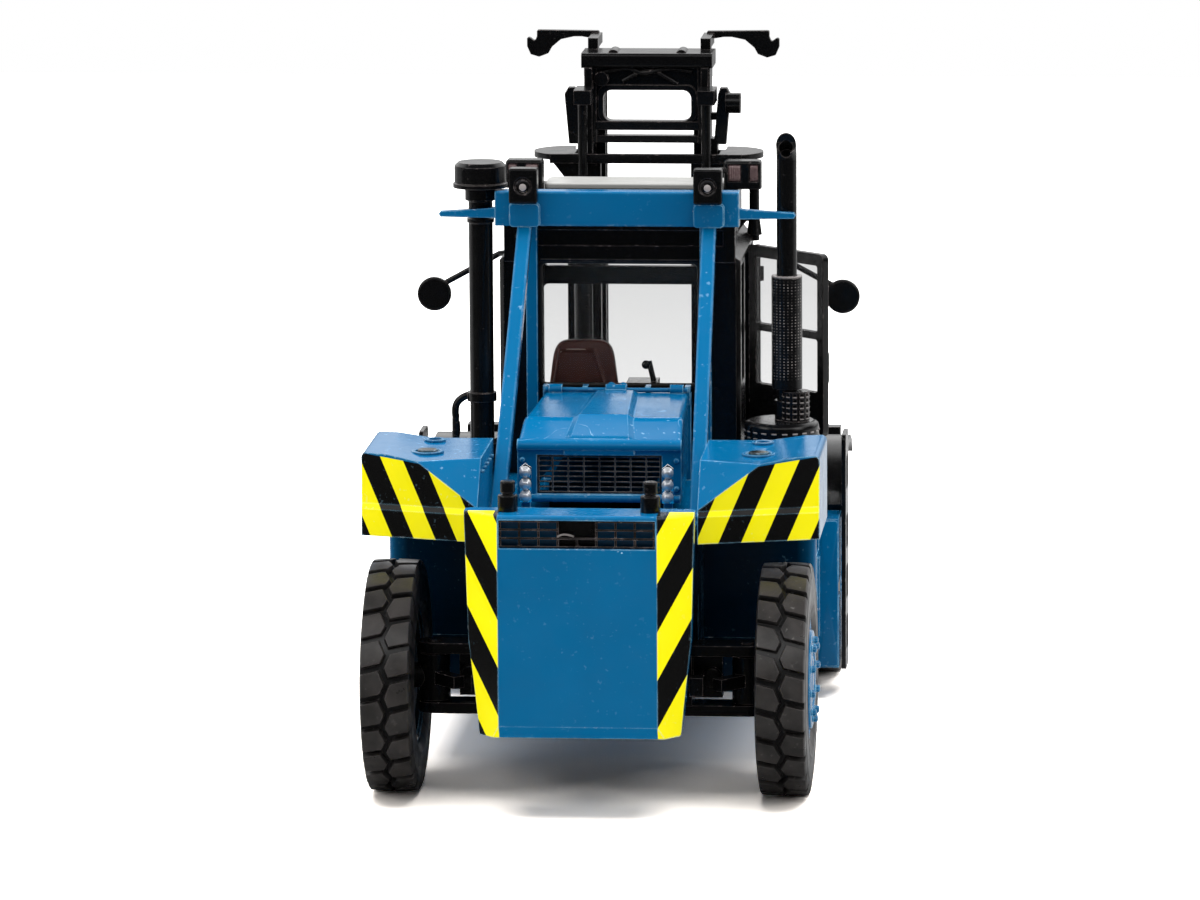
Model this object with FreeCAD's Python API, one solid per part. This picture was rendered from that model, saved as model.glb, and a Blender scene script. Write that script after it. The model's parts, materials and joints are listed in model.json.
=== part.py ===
"""Heavy counterbalance forklift, a die-cast scale model at 1:50.

Frame: +Y forward (towards the forks), +X to the machine's right, +Z up, origin on the
floor under the middle of the machine. Millimetres. Each node is one STEP file in parts/.
"""
import FreeCAD
import Part
import math
import os

V = FreeCAD.Vector

# ---------------------------------------------------------------- driving dimensions
# Y distances are counted forward from the flat tail plate; T() turns them into the frame.
TAIL_Y = -89.0          # the tail plate itself
WHEELBASE = 83.0
REAR_AXLE_IN = 19.5     # rear axle, from the tail
FIT = 0.05              # radial running clearance of shafts and pins
GAP = 0.3               # air between neighbours that never touch
SHEET = 1.0             # wall of fenders and sheet parts

TYRE_R = 15.0
TYRE_W = 6.6
RIM_R = 8.6             # seat of the tyre on its rim
WHEEL_X = 25.2          # middle of a rear tyre
HUB_R = 6.2             # raised hub of a rear rim
HUB_OUT = 4.4           # how far the hub stands out from the tyre's middle
BOLTS = 10
TWIN_GAP = 0.9          # between the two tyres of a front pair
FRONT_OUT_X = 28.0      # outer face of the front pair
STUB_R = 1.6            # rear wheel spindle
DRIVE_R = 2.2           # front wheel spindle
HOUSING_R = 3.2         # drive axle housing beside its swollen middle
AXLE_Z = TYRE_R

KINGPIN_X = 20.2
KINGPIN_R = 0.9
EYE_HALF = 4.6          # half height between the outer faces of the steer axle's ears
EYE_T = 1.4
STEER_ARM = 4.8         # steering arm and rod, behind the kingpin
STEER_ROD_R = 0.8
STEER_REACH = 14.0      # half length of the steering rod

HALF_W = 29.5           # half width over the fenders
BODY_W = 13.2           # half width of the body between the wheels
TAIL_W = 10.1           # half width of the flat tail plate
TAIL_SIDE = 14.6        # half width at the outer edge of the slanted tail faces
TAIL_FOOT = 12.8        # the same at the bottom edge
TAIL_TUCK_Z = 23.0      # where the tail starts to draw in towards its foot
TAIL_SLANT = 3.2        # how far the slanted faces run forward
TAIL_TOP = 39.4
TAIL_BOTTOM = 10.7
TAIL_LEN = 34.0
LIP_LEN = 6.0           # length of the tail's raised lip
DECK_Z = 34.0           # deck behind the lip
BAND_LOW = 35.2         # mesh band in the tail's upper edge
BAND_HIGH = 38.8
BAND_DEEP = 1.6

FENDER_BOTTOM = 33.3
FENDER_TOP_IN = 43.3    # top of a rear fender at its inner and outer edge
FENDER_TOP_OUT = 44.1
FENDER_REAR_IN = 15.0   # rear face at its inner and outer end
FENDER_REAR_OUT = 19.5
FENDER_FRONT = 36.0
FENDER_IN = 14.1
CREASE_LOW = 36.8       # the lower band of the rear face stands proud up to here
CREASE_HIGH = 37.5
CREASE_OUT = 0.4
CAP_X = 21.4
CLUSTER_X = 9.25        # lamp clusters beside the hood
KNOB_X = 9.03
TANK_OUT = 26.0         # half width over the side tanks
TANK_TOP = 26.5
TANK_BOTTOM = 9.6
WALL_OUT = 28.0         # half width of the wall that closes a rear wheel's arch in front
WALL_LOW = 17.0
STEP_OUT = 28.5         # half width over the step boxes behind the front wheels
STEP_TOP = 25.0
STEP_END = 87.9

HOOD_REAR = 33.4
HOOD_NOSE = 0.4         # overhang of the rolled nose over the rear face
HOOD_FOLD = 40.0
HOOD_FRONT = 60.0
HOOD_W_REAR = 10.85
HOOD_W_FRONT = 9.6
HOOD_Z_NOSE = 42.5
HOOD_Z_TOP = 45.45
HOOD_BOTTOM = 35.6
HOOD_WALL = 0.9
BULGE_NOSE = 4.6        # half width of the raised middle at the nose and at the cab end
BULGE_END = 3.1
BULGE_RISE = 0.5
BULGE_SLOPE = 0.85      # how far its sides lean in
MESH_W = 8.15           # half width of the grille in the hood
MESH_LOW = 36.5
MESH_HIGH = 41.6
HINGE_R = 0.3           # hinge pin of the hood
LUG_R = 0.75
LUG_X = 8.1             # middle of an outer lug

CAB_REAR = 66.4
CAB_LEN = 30.0
CAB_W = 16.2            # half width below the window line
CAB_ROOF_W = 14.4       # half width of the narrower roof
CAB_FRAME_W = 15.5      # half width of the rear frame above the window line
CAB_FLOOR = 33.6
CAB_WAIST = 62.4        # where the side walls turn in
CAB_TOP = 69.2
CAB_WALL = 1.1
SILL_Z = 45.6           # rear window
HEAD_Z = 62.3
WINDOW_W = 10.7
DOOR_HINGE_Y = 90.4     # from the tail
DOOR_LEN = 15.0
DOOR_LOW = 36.6
DOOR_HIGH = 61.6
DOOR_T = 1.0
DOOR_BORDER = 1.2       # frame around a door's panes
PANE_SPLIT = 50.4       # middle of the bar between them
PANE_LOW = 42.6
DOOR_OPEN = 46.0        # degrees, right door as it stands
DOOR_PIN_OUT = 0.6      # hinge axis outside the cab's side
DOOR_PIN_Y = 0.1
DOOR_PIN_R = 0.25
HINGE_HEIGHTS = (38.0, 56.5)
SCREEN_BAR = (55.1, 57.6)   # heights of the bar across the windscreen
ROOF_LAMP_X = 14.95
MIRROR_X = 28.25
MIRROR_Z = 53.4
MIRROR_R = 2.35
SEAT_X = -5.6
SEAT_TOP = 50.4

BEAM_Y = 62.2
BEAM_T = 2.6
BEAM_LOW = 67.6
BEAM_HIGH = 72.3
BEAM_W = 16.3
ARM_W = 23.6            # half width over the beam's arms
ARM_Z = 69.2
LAMP_X = 12.3
LAMP_W = 1.9
LAMP_H = 4.7
POST_X = 11.65          # upright behind the beam
POST_W = 1.5
STRUT_W = 1.9

STACK_X = 18.5
STACK_Y = 65.0
STACK_R = 1.62
STACK_NECK_R = 2.05
STACK_TOP = 75.9
STACK_CAP_R = 3.45
EXHAUST_X = 22.5
EXHAUST_R = 1.35
EXHAUST_TOP = 79.6
SHIELD_LOW = 45.6
SHIELD_LEN = 15.0
DRUM_TOP = 41.4         # lid of the silencer
SLOT_ROWS = 5
SLOTS = 12

MAST_Y = 114.0          # middle of the outer mast channels
MAST_W = 11.0           # half width over the outer channels
MAST_IN = 6.3           # inner edge of their back flanges
MAST_BOTTOM = 5.0
MAST_TOP = 71.0
MAST_DEPTH = 7.0
CROSS_BARS = ((5.0, 11.0), (24.6, 29.4))
MAST_T = 0.9
DISC_R = 5.1            # round ends of the mast's top plate
LIFT_X = 8.6            # middle of a lift cylinder
LIFT_R = 1.3
LIFT_ROD_R = 0.65
LIFT_LOW = 11.8
LIFT_HIGH = 67.0
HEAD_TOP = 85.0
HEAD_W = 9.15           # half width of the inner mast's head
HOOK_Y = 124.6          # middle of the hooked arms, from the tail
HOOK_RISE = 2.0         # how far they stand above the head
TRACK = 1.8             # width of the carriage rollers' track
TILT_Y = 110.0
TILT_Z = 9.0
TILT_PIN_R = 1.0
BASE_Y = 97.4           # tilt cylinder pin on the chassis
BASE_Z = 26.0
EYE_Y = 107.2           # tilt cylinder pin on the mast
EYE_Z = 27.0
TILT_X = 5.0            # middle of a tilt cylinder
EAR_WALL = 0.65
PIN_R = 0.5
TILT_ROD_R = 0.7

CARRIAGE_W = 26.5
CARRIAGE_LOW = 7.0
CARRIAGE_HIGH = 31.0
CARRIAGE_T = 2.4
FORK_X = 12.0
FORK_W = 5.6
FORK_T = 1.8
FORK_LEN = 48.0
SHANK_T = 2.4
HOOK_GAP = 0.06

# ---------------------------------------------------------------- sizes that follow
REAR_AXLE_Y = TAIL_Y + REAR_AXLE_IN
FRONT_AXLE_Y = REAR_AXLE_Y + WHEELBASE
CAB_FRONT = CAB_REAR + CAB_LEN
EAR_LOW = AXLE_Z - EYE_HALF
EAR_HIGH = AXLE_Z + EYE_HALF
STUB_OUT = WHEEL_X + 1.6
EAR_X = BODY_W - 1.95   # inner face of the chassis ears that hold the mast foot
FOOT_IN = 8.6           # inner face of the mast foot
EAR_PAIR = (TILT_X - 1.5, TILT_X + 0.85)
HINGE_Y = HOOD_FRONT + 0.1
HINGE_Z = HOOD_Z_TOP + 0.5
FLANGE_IN = MAST_W - 2.1                        # inner edge of the outer mast's front flange
SLIDE_Y = MAST_Y + MAST_T                       # middle of the inner beams' run in the channels
TRACK_Y = SLIDE_Y + MAST_DEPTH / 2 + 0.8        # middle of the carriage rollers' track
CARRIAGE_Y = TRACK_Y + TRACK / 2 + 1.7          # rear face of the cross beams


def T(y):
    """Distance from the tail to the frame's Y."""
    return TAIL_Y + y


# ---------------------------------------------------------------- shape helpers
def box(x0, x1, y0, y1, z0, z1):
    return Part.makeBox(x1 - x0, y1 - y0, z1 - z0, V(x0, y0, z0))


def cyl(p, d, r, h):
    return Part.makeCylinder(r, h, V(*p), V(*d))


def cone(p, d, r0, r1, h):
    return Part.makeCone(r0, r1, h, V(*p), V(*d))


def tube(p, d, r_out, r_in, h):
    return cyl(p, d, r_out, h).cut(cyl(p, d, r_in, h))


def prism(points, direction):
    face = Part.Face(Part.makePolygon([V(*p) for p in points] + [V(*points[0])]))
    return face.extrude(V(*direction))


def plan(points, z0, z1):
    """A plate with an outline in plan."""
    return prism([(x, y, z0) for x, y in points], (0, 0, z1 - z0))


def side(points, x0, x1):
    """A plate with an outline seen from the side, points as (y, z)."""
    return prism([(x0, y, z) for y, z in points], (x1 - x0, 0, 0))


def front(points, y0, y1):
    """A plate with an outline seen from behind, points as (x, z)."""
    return prism([(x, y0, z) for x, z in points], (0, y1 - y0, 0))


def loft(sections):
    """A solid with flat sides through outlines of equal corner count."""
    wires = [Part.makePolygon([V(*p) for p in s] + [V(*s[0])]) for s in sections]
    return Part.makeLoft(wires, True, True)


def mirror(s):
    return s.mirror(V(0, 0, 0), V(1, 0, 0))


def both(s):
    return [s, mirror(s)]


def sided(s, side_sign):
    """The shape on its own side: built on the right, mirrored for the left."""
    return s if side_sign > 0 else mirror(s)


def fuse(shapes):
    first = shapes[0]
    if len(shapes) == 1:
        return first
    return first.fuse(shapes[1:]).removeSplitter()


def compound(shapes):
    return Part.makeCompound(shapes)


def round_edges(shape, radius, wanted):
    """Fillet the edges that `wanted` picks; a refused fillet leaves the shape as it is."""
    edges = [e for e in shape.Edges if wanted(e)]
    if not edges:
        return shape
    try:
        done = shape.makeFillet(radius, edges)
    except Exception:
        print("no fillet", radius)
        return shape
    return done if done.isValid() and done.Volume > 0 else shape


def along(axis):
    """Picks the straight edges that run along one axis of the frame."""
    def test(e):
        if len(e.Vertexes) != 2:
            return False
        d = e.Vertexes[1].Point.sub(e.Vertexes[0].Point)
        if d.Length < 1e-6:
            return False
        d.normalize()
        return abs(abs([d.x, d.y, d.z][axis]) - 1) < 1e-6
    return test


def any_edge(e):
    return True


def bar(p, q, w, t, roll=V(1, 0, 0)):
    """A square bar from p to q, w wide along `roll` and t deep."""
    p = V(*p)
    d = V(*q).sub(p)
    h = d.Length
    d.normalize()
    up = d.cross(roll)
    up.normalize()
    signs = ((-1, -1), (1, -1), (1, 1), (-1, 1))
    c = [p + roll * (a * w / 2) + up * (b * t / 2) for a, b in signs]
    return Part.Face(Part.makePolygon(c + [c[0]])).extrude(d * h)


def rod(p, q, r):
    p = V(*p)
    d = V(*q).sub(p)
    return Part.makeCylinder(r, d.Length, p, d)


def bent(points, r):
    """A round tube along points with ball corners."""
    pieces = [rod(a, b, r) for a, b in zip(points, points[1:])]
    pieces += [Part.makeSphere(r, V(*p)) for p in points[1:-1]]
    return fuse(pieces)


def smooth_pipe(points, r):
    """A round tube swept along a curve through the points."""
    curve = Part.BSplineCurve()
    curve.interpolate([V(*p) for p in points])
    path = Part.Wire(curve.toShape())
    ring = Part.Wire(Part.makeCircle(r, V(*points[0]), curve.tangent(curve.FirstParameter)[0]))
    return path.makePipeShell([ring], True, True)


def rounded_wire(points):
    """Closed outline in the YZ plane: (y, z) corners, or (y, z, y_mid, z_mid) for an arc to the corner."""
    edges = []
    last = points[-1]
    for p in points:
        a = V(0, last[0], last[1])
        b = V(0, p[0], p[1])
        if len(p) == 4:
            edges.append(Part.Arc(a, V(0, p[2], p[3]), b).toShape())
        else:
            edges.append(Part.makeLine(a, b))
        last = p
    return Part.Wire(edges)


def revolve_x(profile, x=0.0, y=0.0, z=0.0):
    """Revolve a profile of (x, radius) about the X axis through (y, z)."""
    pts = [V(x + a, y, z + r) for a, r in profile]
    face = Part.Face(Part.makePolygon(pts + [pts[0]]))
    return face.revolve(V(0, y, z), V(1, 0, 0), 360)


# ---------------------------------------------------------------- wheels
def tyre(x, y):
    """One tyre: a smooth bulged section revolved about the axle, its bead on the rim."""
    h = TYRE_W / 2
    half = [(h - 0.8, RIM_R), (h - 0.1, RIM_R + 1.0), (h, RIM_R + 2.6), (h - 0.15, RIM_R + 4.4),
            (h - 0.7, TYRE_R - 0.7), (h - 1.7, TYRE_R - 0.12)]
    outline = half + [(0.0, TYRE_R)] + [(-a, r) for a, r in reversed(half)]
    curve = Part.BSplineCurve()
    curve.interpolate([V(x + a, y, AXLE_Z + r) for a, r in outline])
    seat = Part.makeLine(V(x - h + 0.8, y, AXLE_Z + RIM_R), V(x + h - 0.8, y, AXLE_Z + RIM_R))
    face = Part.Face(Part.Wire([curve.toShape(), seat]))
    return face.revolve(V(0, y, AXLE_Z), V(1, 0, 0), 360)


def bolts(x, y, radius, count, r, h):
    """A ring of bolt heads around the axle, standing outward."""
    ring = []
    for k in range(count):
        a = 2 * math.pi * k / count
        p = (x, y + radius * math.cos(a), AXLE_Z + radius * math.sin(a))
        ring.append(cyl(p, (1, 0, 0), r, h))
    return ring


def rear_rim(side_sign):
    """Rim whose hub stands out past the tyre, with a ring of bolts on it."""
    h = TYRE_W / 2 - 0.5
    r = RIM_R
    bore = STUB_R + FIT
    prof = [(-h, r), (h, r), (h, r - 0.7), (h - 1.3, r - 1.4), (h - 0.4, HUB_R + 0.4),
            (HUB_OUT - 0.6, HUB_R), (HUB_OUT, HUB_R - 0.6), (HUB_OUT, 2.6), (HUB_OUT - 0.8, 2.2),
            (HUB_OUT - 0.8, bore), (-h + 0.6, bore), (-h + 0.6, 5.0), (-h, r - 1.0)]
    body = revolve_x(prof, 0, 0, AXLE_Z)
    body = body.fuse(bolts(HUB_OUT - 0.2, 0, HUB_R - 1.5, BOLTS, 0.45, 0.8)).removeSplitter()
    body.translate(V(WHEEL_X, REAR_AXLE_Y, 0))
    return sided(body, side_sign)


def front_x():
    """Middles of the outer and the inner tyre of a front pair."""
    outer = FRONT_OUT_X - TYRE_W / 2
    return outer, outer - TYRE_W - TWIN_GAP


def dish(x, y, out):
    """One dished rim of the pair; `out` is +1 or -1, the side of its open face."""
    h = TYRE_W / 2 - 0.5
    r = RIM_R
    prof = [(-h, r), (h, r), (h, r - 0.7), (h - 1.6, r - 1.5), (h - 2.2, 5.2), (h - 1.2, 4.6),
            (h + 0.4, 4.2), (h + 0.4, 3.0), (-h + 0.6, 3.0), (-h + 0.6, 5.0), (-h, r - 1.0)]
    return revolve_x([(out * a, b) for a, b in prof], x, y, AXLE_Z)


def front_rim(side_sign):
    """The twin rims, joined by their spacer ring and the hub they share."""
    xo, xi = front_x()
    y = FRONT_AXLE_Y
    h = TYRE_W / 2 - 0.5
    spacer = revolve_x([(xi + h, RIM_R), (xo - h, RIM_R), (xo - h, RIM_R - 1.4), (xi + h, RIM_R - 1.4)],
                       0, y, AXLE_Z)
    hub = revolve_x([(xi - 2.0, 4.6), (xo + 2.0, 4.6), (xo + 2.6, 3.8), (xo + 2.6, DRIVE_R + FIT),
                     (xi - 2.0, DRIVE_R + FIT)], 0, y, AXLE_Z)
    parts = [dish(xo, y, -1), dish(xi, y, 1), spacer, hub] + bolts(xo + 1.4, y, 3.5, BOLTS, 0.42, 1.7)
    return sided(fuse(parts), side_sign)


def front_tyres(side_sign):
    return sided(compound([tyre(x, FRONT_AXLE_Y) for x in front_x()]), side_sign)


def rear_tyre(side_sign):
    return sided(tyre(WHEEL_X, REAR_AXLE_Y), side_sign)


# ---------------------------------------------------------------- axles and steering
def steer_axle():
    """Beam with two forked ends that hold the kingpins, and the steering cylinder behind it."""
    y = REAR_AXLE_Y
    rod_y = y - STEER_ARM - 0.4
    beam = round_edges(box(-BODY_W, BODY_W, y - 2.6, y + 2.6, AXLE_Z - 3.4, AXLE_Z + 3.4), 0.8, along(0))
    parts = [beam, box(-4.0, 4.0, y - 3.4, y + 3.4, AXLE_Z + 3.0, AXLE_Z + 9.0)]
    for z0 in (EAR_LOW, EAR_HIGH - EYE_T):
        ear = box(BODY_W - 1.2, KINGPIN_X, y - 2.2, y + 2.2, z0, z0 + EYE_T)
        parts += both(ear.fuse(cyl((KINGPIN_X, y, z0), (0, 0, 1), 2.2, EYE_T)))
    web = box(BODY_W - 1.0, KINGPIN_X - 3.2, y - 0.3, y + 1.9, EAR_LOW + EYE_T + 0.7, EAR_HIGH - EYE_T + 0.1)
    boss = cyl((BODY_W + 2.4, y - 0.9, AXLE_Z + 0.2), (0, 1, 0), 1.3, 1.0)
    parts += both(web.fuse(round_edges(boss, 0.25, lambda e: e.CenterOfMass.y < y - 0.8)))
    parts += both(cyl((KINGPIN_X, y, EAR_LOW - 0.2), (0, 0, 1), KINGPIN_R, EAR_HIGH - EAR_LOW + 0.4))
    barrel = cyl((-8.0, rod_y, AXLE_Z), (1, 0, 0), 1.7, 16.0)
    bore = cyl((-9.0, rod_y, AXLE_Z), (1, 0, 0), STEER_ROD_R + FIT, 18.0)
    clamp = box(5.2, 6.8, rod_y, y - 2.0, AXLE_Z - 2.4, AXLE_Z + 2.4)
    return fuse(parts + [barrel] + both(clamp)).cut(bore)


def steer_rod():
    """Piston rod of the steering cylinder with its end blocks."""
    y = REAR_AXLE_Y - STEER_ARM - 0.4
    r = cyl((-STEER_REACH, y, AXLE_Z), (1, 0, 0), STEER_ROD_R, 2 * STEER_REACH)
    end = box(STEER_REACH - 0.9, STEER_REACH + 0.9, y - 1.1, y + 1.1, AXLE_Z - 1.2, AXLE_Z + 1.2)
    return fuse([r] + both(end))


def knuckle(side_sign):
    """Sleeve on the kingpin with the wheel spindle and the steering arm."""
    y = REAR_AXLE_Y
    low = EAR_LOW + EYE_T + 0.15
    high = EAR_HIGH - EYE_T - 0.15
    barrel = cyl((KINGPIN_X, y, low), (0, 0, 1), 2.0, high - low)
    stub = cyl((KINGPIN_X, y, AXLE_Z), (1, 0, 0), STUB_R, STUB_OUT - KINGPIN_X)
    arm = bar((KINGPIN_X - 0.4, y - 1.0, AXLE_Z), (KINGPIN_X - 3.6, y - STEER_ARM, AXLE_Z),
              1.6, 1.6, V(0, 0, 1))
    bore = cyl((KINGPIN_X, y, low - 1), (0, 0, 1), KINGPIN_R + FIT, high - low + 2)
    return sided(fuse([barrel, stub, arm]).cut(bore), side_sign)


def drive_axle():
    """Axle housing with its swollen middle, turned about the wheels' axis with the spindles."""
    end = FRONT_OUT_X - 1.2
    half = [(end, 0.0), (end, DRIVE_R), (BODY_W, DRIVE_R), (BODY_W, HOUSING_R), (6.0, HOUSING_R),
            (4.6, 4.2)]
    profile = half + [(-x, r) for x, r in reversed(half)]
    return revolve_x(profile, 0, FRONT_AXLE_Y, AXLE_Z)


# ---------------------------------------------------------------- body
def tail_section(z, half):
    """Outline of the tail at one height, its slanted faces ending at `half`."""
    s = T(TAIL_SLANT)
    b = min(BODY_W, half - 0.1)
    right = [(TAIL_W, T(0), z), (half, s, z), (half, s + 2.2, z), (b, s + 3.4, z), (b, T(TAIL_LEN), z)]
    return right + [(-x, y, zz) for x, y, zz in reversed(right)]


def tail_counterweight():
    """Cast tail: lofted sections that draw in to the foot, with the lip, the deck and the wheel arch."""
    body = loft([tail_section(TAIL_BOTTOM, TAIL_FOOT),
                 tail_section(16.0, 0.7 * TAIL_FOOT + 0.3 * TAIL_SIDE),
                 tail_section(TAIL_TUCK_Z, TAIL_SIDE - 0.45),
                 tail_section(TAIL_TOP, TAIL_SIDE)])
    body = round_edges(body, 0.45, lambda e: e.BoundBox.ZMin > TAIL_TOP - 0.01 and e.BoundBox.YMin < T(3.0))
    deck = box(-20, 20, T(LIP_LEN), T(TAIL_LEN) + 1, DECK_Z, TAIL_TOP + 1)
    arch = box(-20, 20, T(10.0), T(29.0), 0, AXLE_Z + 9.0)
    ahead = box(-20, 20, T(29.0) - 0.1, T(TAIL_LEN) + 1, 0, 16.0)
    z = TAIL_BOTTOM
    bevel = side([(T(0) - 1, z + 1.8), (T(0), z + 1.6), (T(0) + 1.0, z), (T(0) + 1.0, z - 1),
                  (T(0) - 1, z - 1)], -20, 20)
    pocket = box(-TAIL_W + 0.2, TAIL_W - 0.2, T(0) - 1, T(BAND_DEEP), BAND_LOW, BAND_HIGH)
    return body.cut([deck, arch, ahead, bevel, pocket])


def tail_grille():
    """Mesh of thin bars in the tail's upper band; the middle of it is broken out."""
    w = TAIL_W - 0.2
    step = (w - 0.15) / 4
    pitch = (BAND_HIGH - BAND_LOW - 0.3) / 3
    bars = []
    for k in range(-4, 5):
        top = BAND_LOW + 1.3 if k == 0 else BAND_HIGH
        bars.append(box(k * step - 0.15, k * step + 0.15, T(0.5), T(0.8), BAND_LOW, top))
    for row in range(4):
        z = BAND_LOW + 0.15 + pitch * row
        if row < 2:
            bars.append(box(-w, w, T(0.4), T(0.7), z - 0.13, z + 0.13))
        else:
            bars += both(box(step - 0.1, w, T(0.4), T(0.7), z - 0.13, z + 0.13))
    back = box(-w, w, T(BAND_DEEP - 0.3), T(BAND_DEEP), BAND_LOW, BAND_HIGH)
    ties = [box(k * step - 0.2, k * step + 0.2, T(0.4), T(BAND_DEEP - 0.1), BAND_LOW, BAND_LOW + 0.3)
            for k in (-3, 0, 3)]
    return fuse(bars + ties + [back])


def fender_block(inset, low):
    """Full outline of a rear fender, drawn in by `inset` for the hollow side."""
    t = inset
    ahead = 1.0 if inset else 0.0
    top = [(FENDER_IN + t, low), (FENDER_IN + t, FENDER_TOP_IN - t), (22.0, FENDER_TOP_IN - t),
           (26.5, FENDER_TOP_OUT - 0.1 - t), (HALF_W - t, FENDER_TOP_OUT - t), (HALF_W - t, low)]
    body = front(top, T(0), T(FENDER_FRONT) + ahead)
    behind = plan([(0, T(0) - 1), (40, T(0) - 1), (40, fender_rear(40) + t), (0, fender_rear(0) + t)], 0, 60)
    return body.cut(behind)


def fender_rear(x):
    """Frame Y of the swept rear face at a given X."""
    slope = (FENDER_REAR_OUT - FENDER_REAR_IN) / (HALF_W - FENDER_IN)
    return T(FENDER_REAR_IN) + slope * (x - FENDER_IN)


def crease_band():
    """The proud lower band of the rear face, drawn back to the face at its upper edge."""
    def ring(z, out):
        x0, x1 = FENDER_IN, HALF_W
        return [(x0, fender_rear(x0) - out, z), (x1, fender_rear(x1) - out, z),
                (x1, fender_rear(x1) + 0.6, z), (x0, fender_rear(x0) + 0.6, z)]
    return fuse([loft([ring(FENDER_BOTTOM, CREASE_OUT), ring(CREASE_LOW, CREASE_OUT)]),
                 loft([ring(CREASE_LOW, CREASE_OUT), ring(CREASE_HIGH, 0.0)])])


def facet_cut(inset=0.0):
    """Everything outside the sloping facet at the fender's inner rear corner, or outside its inner side."""
    n = V(-12.67, -34.3, 31.9)
    n.normalize()
    p = V(FENDER_IN - 0.14, T(FENDER_REAR_IN) - 0.04, CREASE_HIGH) - n * inset
    a = n.cross(V(1, 0, 0))
    a.normalize()
    b = n.cross(a)
    c = [p + a * (30 * i) + b * (30 * j) for i, j in ((-1, -1), (1, -1), (1, 1), (-1, 1))]
    return Part.Face(Part.makePolygon(c + [c[0]])).extrude(n * 20)


def rear_fender(side_sign):
    """Folded cover over a rear wheel: swept face with a creased band and a sloping facet."""
    solid = fender_block(0, FENDER_BOTTOM)
    solid = round_edges(solid, 0.7, lambda e: along(1)(e) and e.CenterOfMass.x > HALF_W - 0.1
                        and e.CenterOfMass.z > FENDER_TOP_IN)
    solid = fuse([solid, crease_band()]).cut(facet_cut())
    solid = round_edges(solid, 0.5, lambda e: along(2)(e) and e.CenterOfMass.x > HALF_W - 0.1
                        and e.CenterOfMass.y < T(FENDER_REAR_OUT + 2))
    inner = fender_block(SHEET, FENDER_BOTTOM - 1)
    inner = inner.cut(facet_cut(SHEET))
    rivets = []
    for k in range(5):
        at = (FENDER_IN + 0.1, T(FENDER_REAR_IN) + 7 + 3.0 * k, FENDER_TOP_IN - 2.0)
        rivets.append(cyl(at, (-1, 0, 0), 0.22, 0.35))
    return sided(fuse([solid.cut(inner)] + rivets), side_sign)


def filler_caps():
    """A cap in its ring on each rear fender, and a small ring ahead of it."""
    z = FENDER_TOP_IN
    caps = []
    for s in (-1, 1):
        x = s * CAP_X
        base = cyl((x, T(24), z), (0, 0, 1), 2.1, 0.12)
        ring = tube((x, T(24), z), (0, 0, 1), 2.1, 1.6, 0.32)
        cap = cyl((x, T(24), z), (0, 0, 1), 1.3, 0.5)
        cap = round_edges(cap, 0.15, lambda e: e.CenterOfMass.z > z + 0.4)
        caps.append(fuse([base, ring, cap]))
        caps.append(tube((x, T(33), z), (0, 0, 1), 1.4, 0.9, 0.35))
    return compound(caps)


def hood_outline(t):
    """Side outline of the hood, its nose rolled over; drawn in by t for the hollow side."""
    y, n = T(HOOD_REAR), T(HOOD_REAR - HOOD_NOSE)
    fold, end = T(HOOD_FOLD), T(HOOD_FRONT)
    if t:
        return [(y + t, HOOD_BOTTOM - 3), (y + t, HOOD_Z_NOSE - 0.7), (y + t + 1.2, HOOD_Z_NOSE),
                (fold, HOOD_Z_TOP - t), (end - t, HOOD_Z_TOP - t), (end - t, HOOD_BOTTOM - 3)]
    z = HOOD_Z_NOSE
    return [(y, HOOD_BOTTOM), (y, z - 0.8), (n + 0.05, z - 0.2, y - 0.1, z - 0.45),
            (y + 1.1, z + 0.95, n + 0.15, z + 0.62), (fold - 0.9, HOOD_Z_TOP - 0.3),
            (fold + 0.9, HOOD_Z_TOP, fold, HOOD_Z_TOP - 0.07), (end, HOOD_Z_TOP + 0.15), (end, HOOD_BOTTOM)]


def hood_body(t):
    """The hood's outline as a block that narrows towards the cab."""
    face = Part.Face(rounded_wire(hood_outline(t)))
    face.translate(V(-20, 0, 0))
    w0, w1 = HOOD_W_REAR - t, HOOD_W_FRONT - t
    wide = plan([(-w0, T(HOOD_REAR) - 3), (w0, T(HOOD_REAR) - 3), (w1, T(HOOD_FRONT) + 1),
                 (-w1, T(HOOD_FRONT) + 1)], 0, 60)
    return face.extrude(V(40, 0, 0)).common(wide)


def bulge_section(y, z, half, rise):
    """Six corners of the raised middle at one place: its foot sunk in the hood, its sides leaning in."""
    t = half - BULGE_SLOPE
    right = [(half, y, z - 1.3), (half, y, z), (t, y, z + rise)]
    return right + [(-x, yy, zz) for x, yy, zz in reversed(right)]


def hood_bulge():
    """Raised middle of the hood, lofted from the rolled nose over the fold to the cab end."""
    z = HOOD_Z_TOP
    fold = BULGE_NOSE + (BULGE_END - BULGE_NOSE) * 0.4
    block = loft([bulge_section(T(HOOD_REAR) - 0.3, HOOD_Z_NOSE - 0.1, BULGE_NOSE, 0.25),
                  bulge_section(T(HOOD_REAR) + 1.1, HOOD_Z_NOSE + 0.95, BULGE_NOSE, BULGE_RISE),
                  bulge_section(T(HOOD_FOLD), z - 0.05, fold, BULGE_RISE),
                  bulge_section(T(HOOD_FRONT) - 0.6, z + 0.13, BULGE_END, BULGE_RISE)])
    return round_edges(block, 0.25, lambda e: abs(e.CenterOfMass.x) < 0.01 and e.BoundBox.ZMin > HOOD_Z_NOSE)


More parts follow.
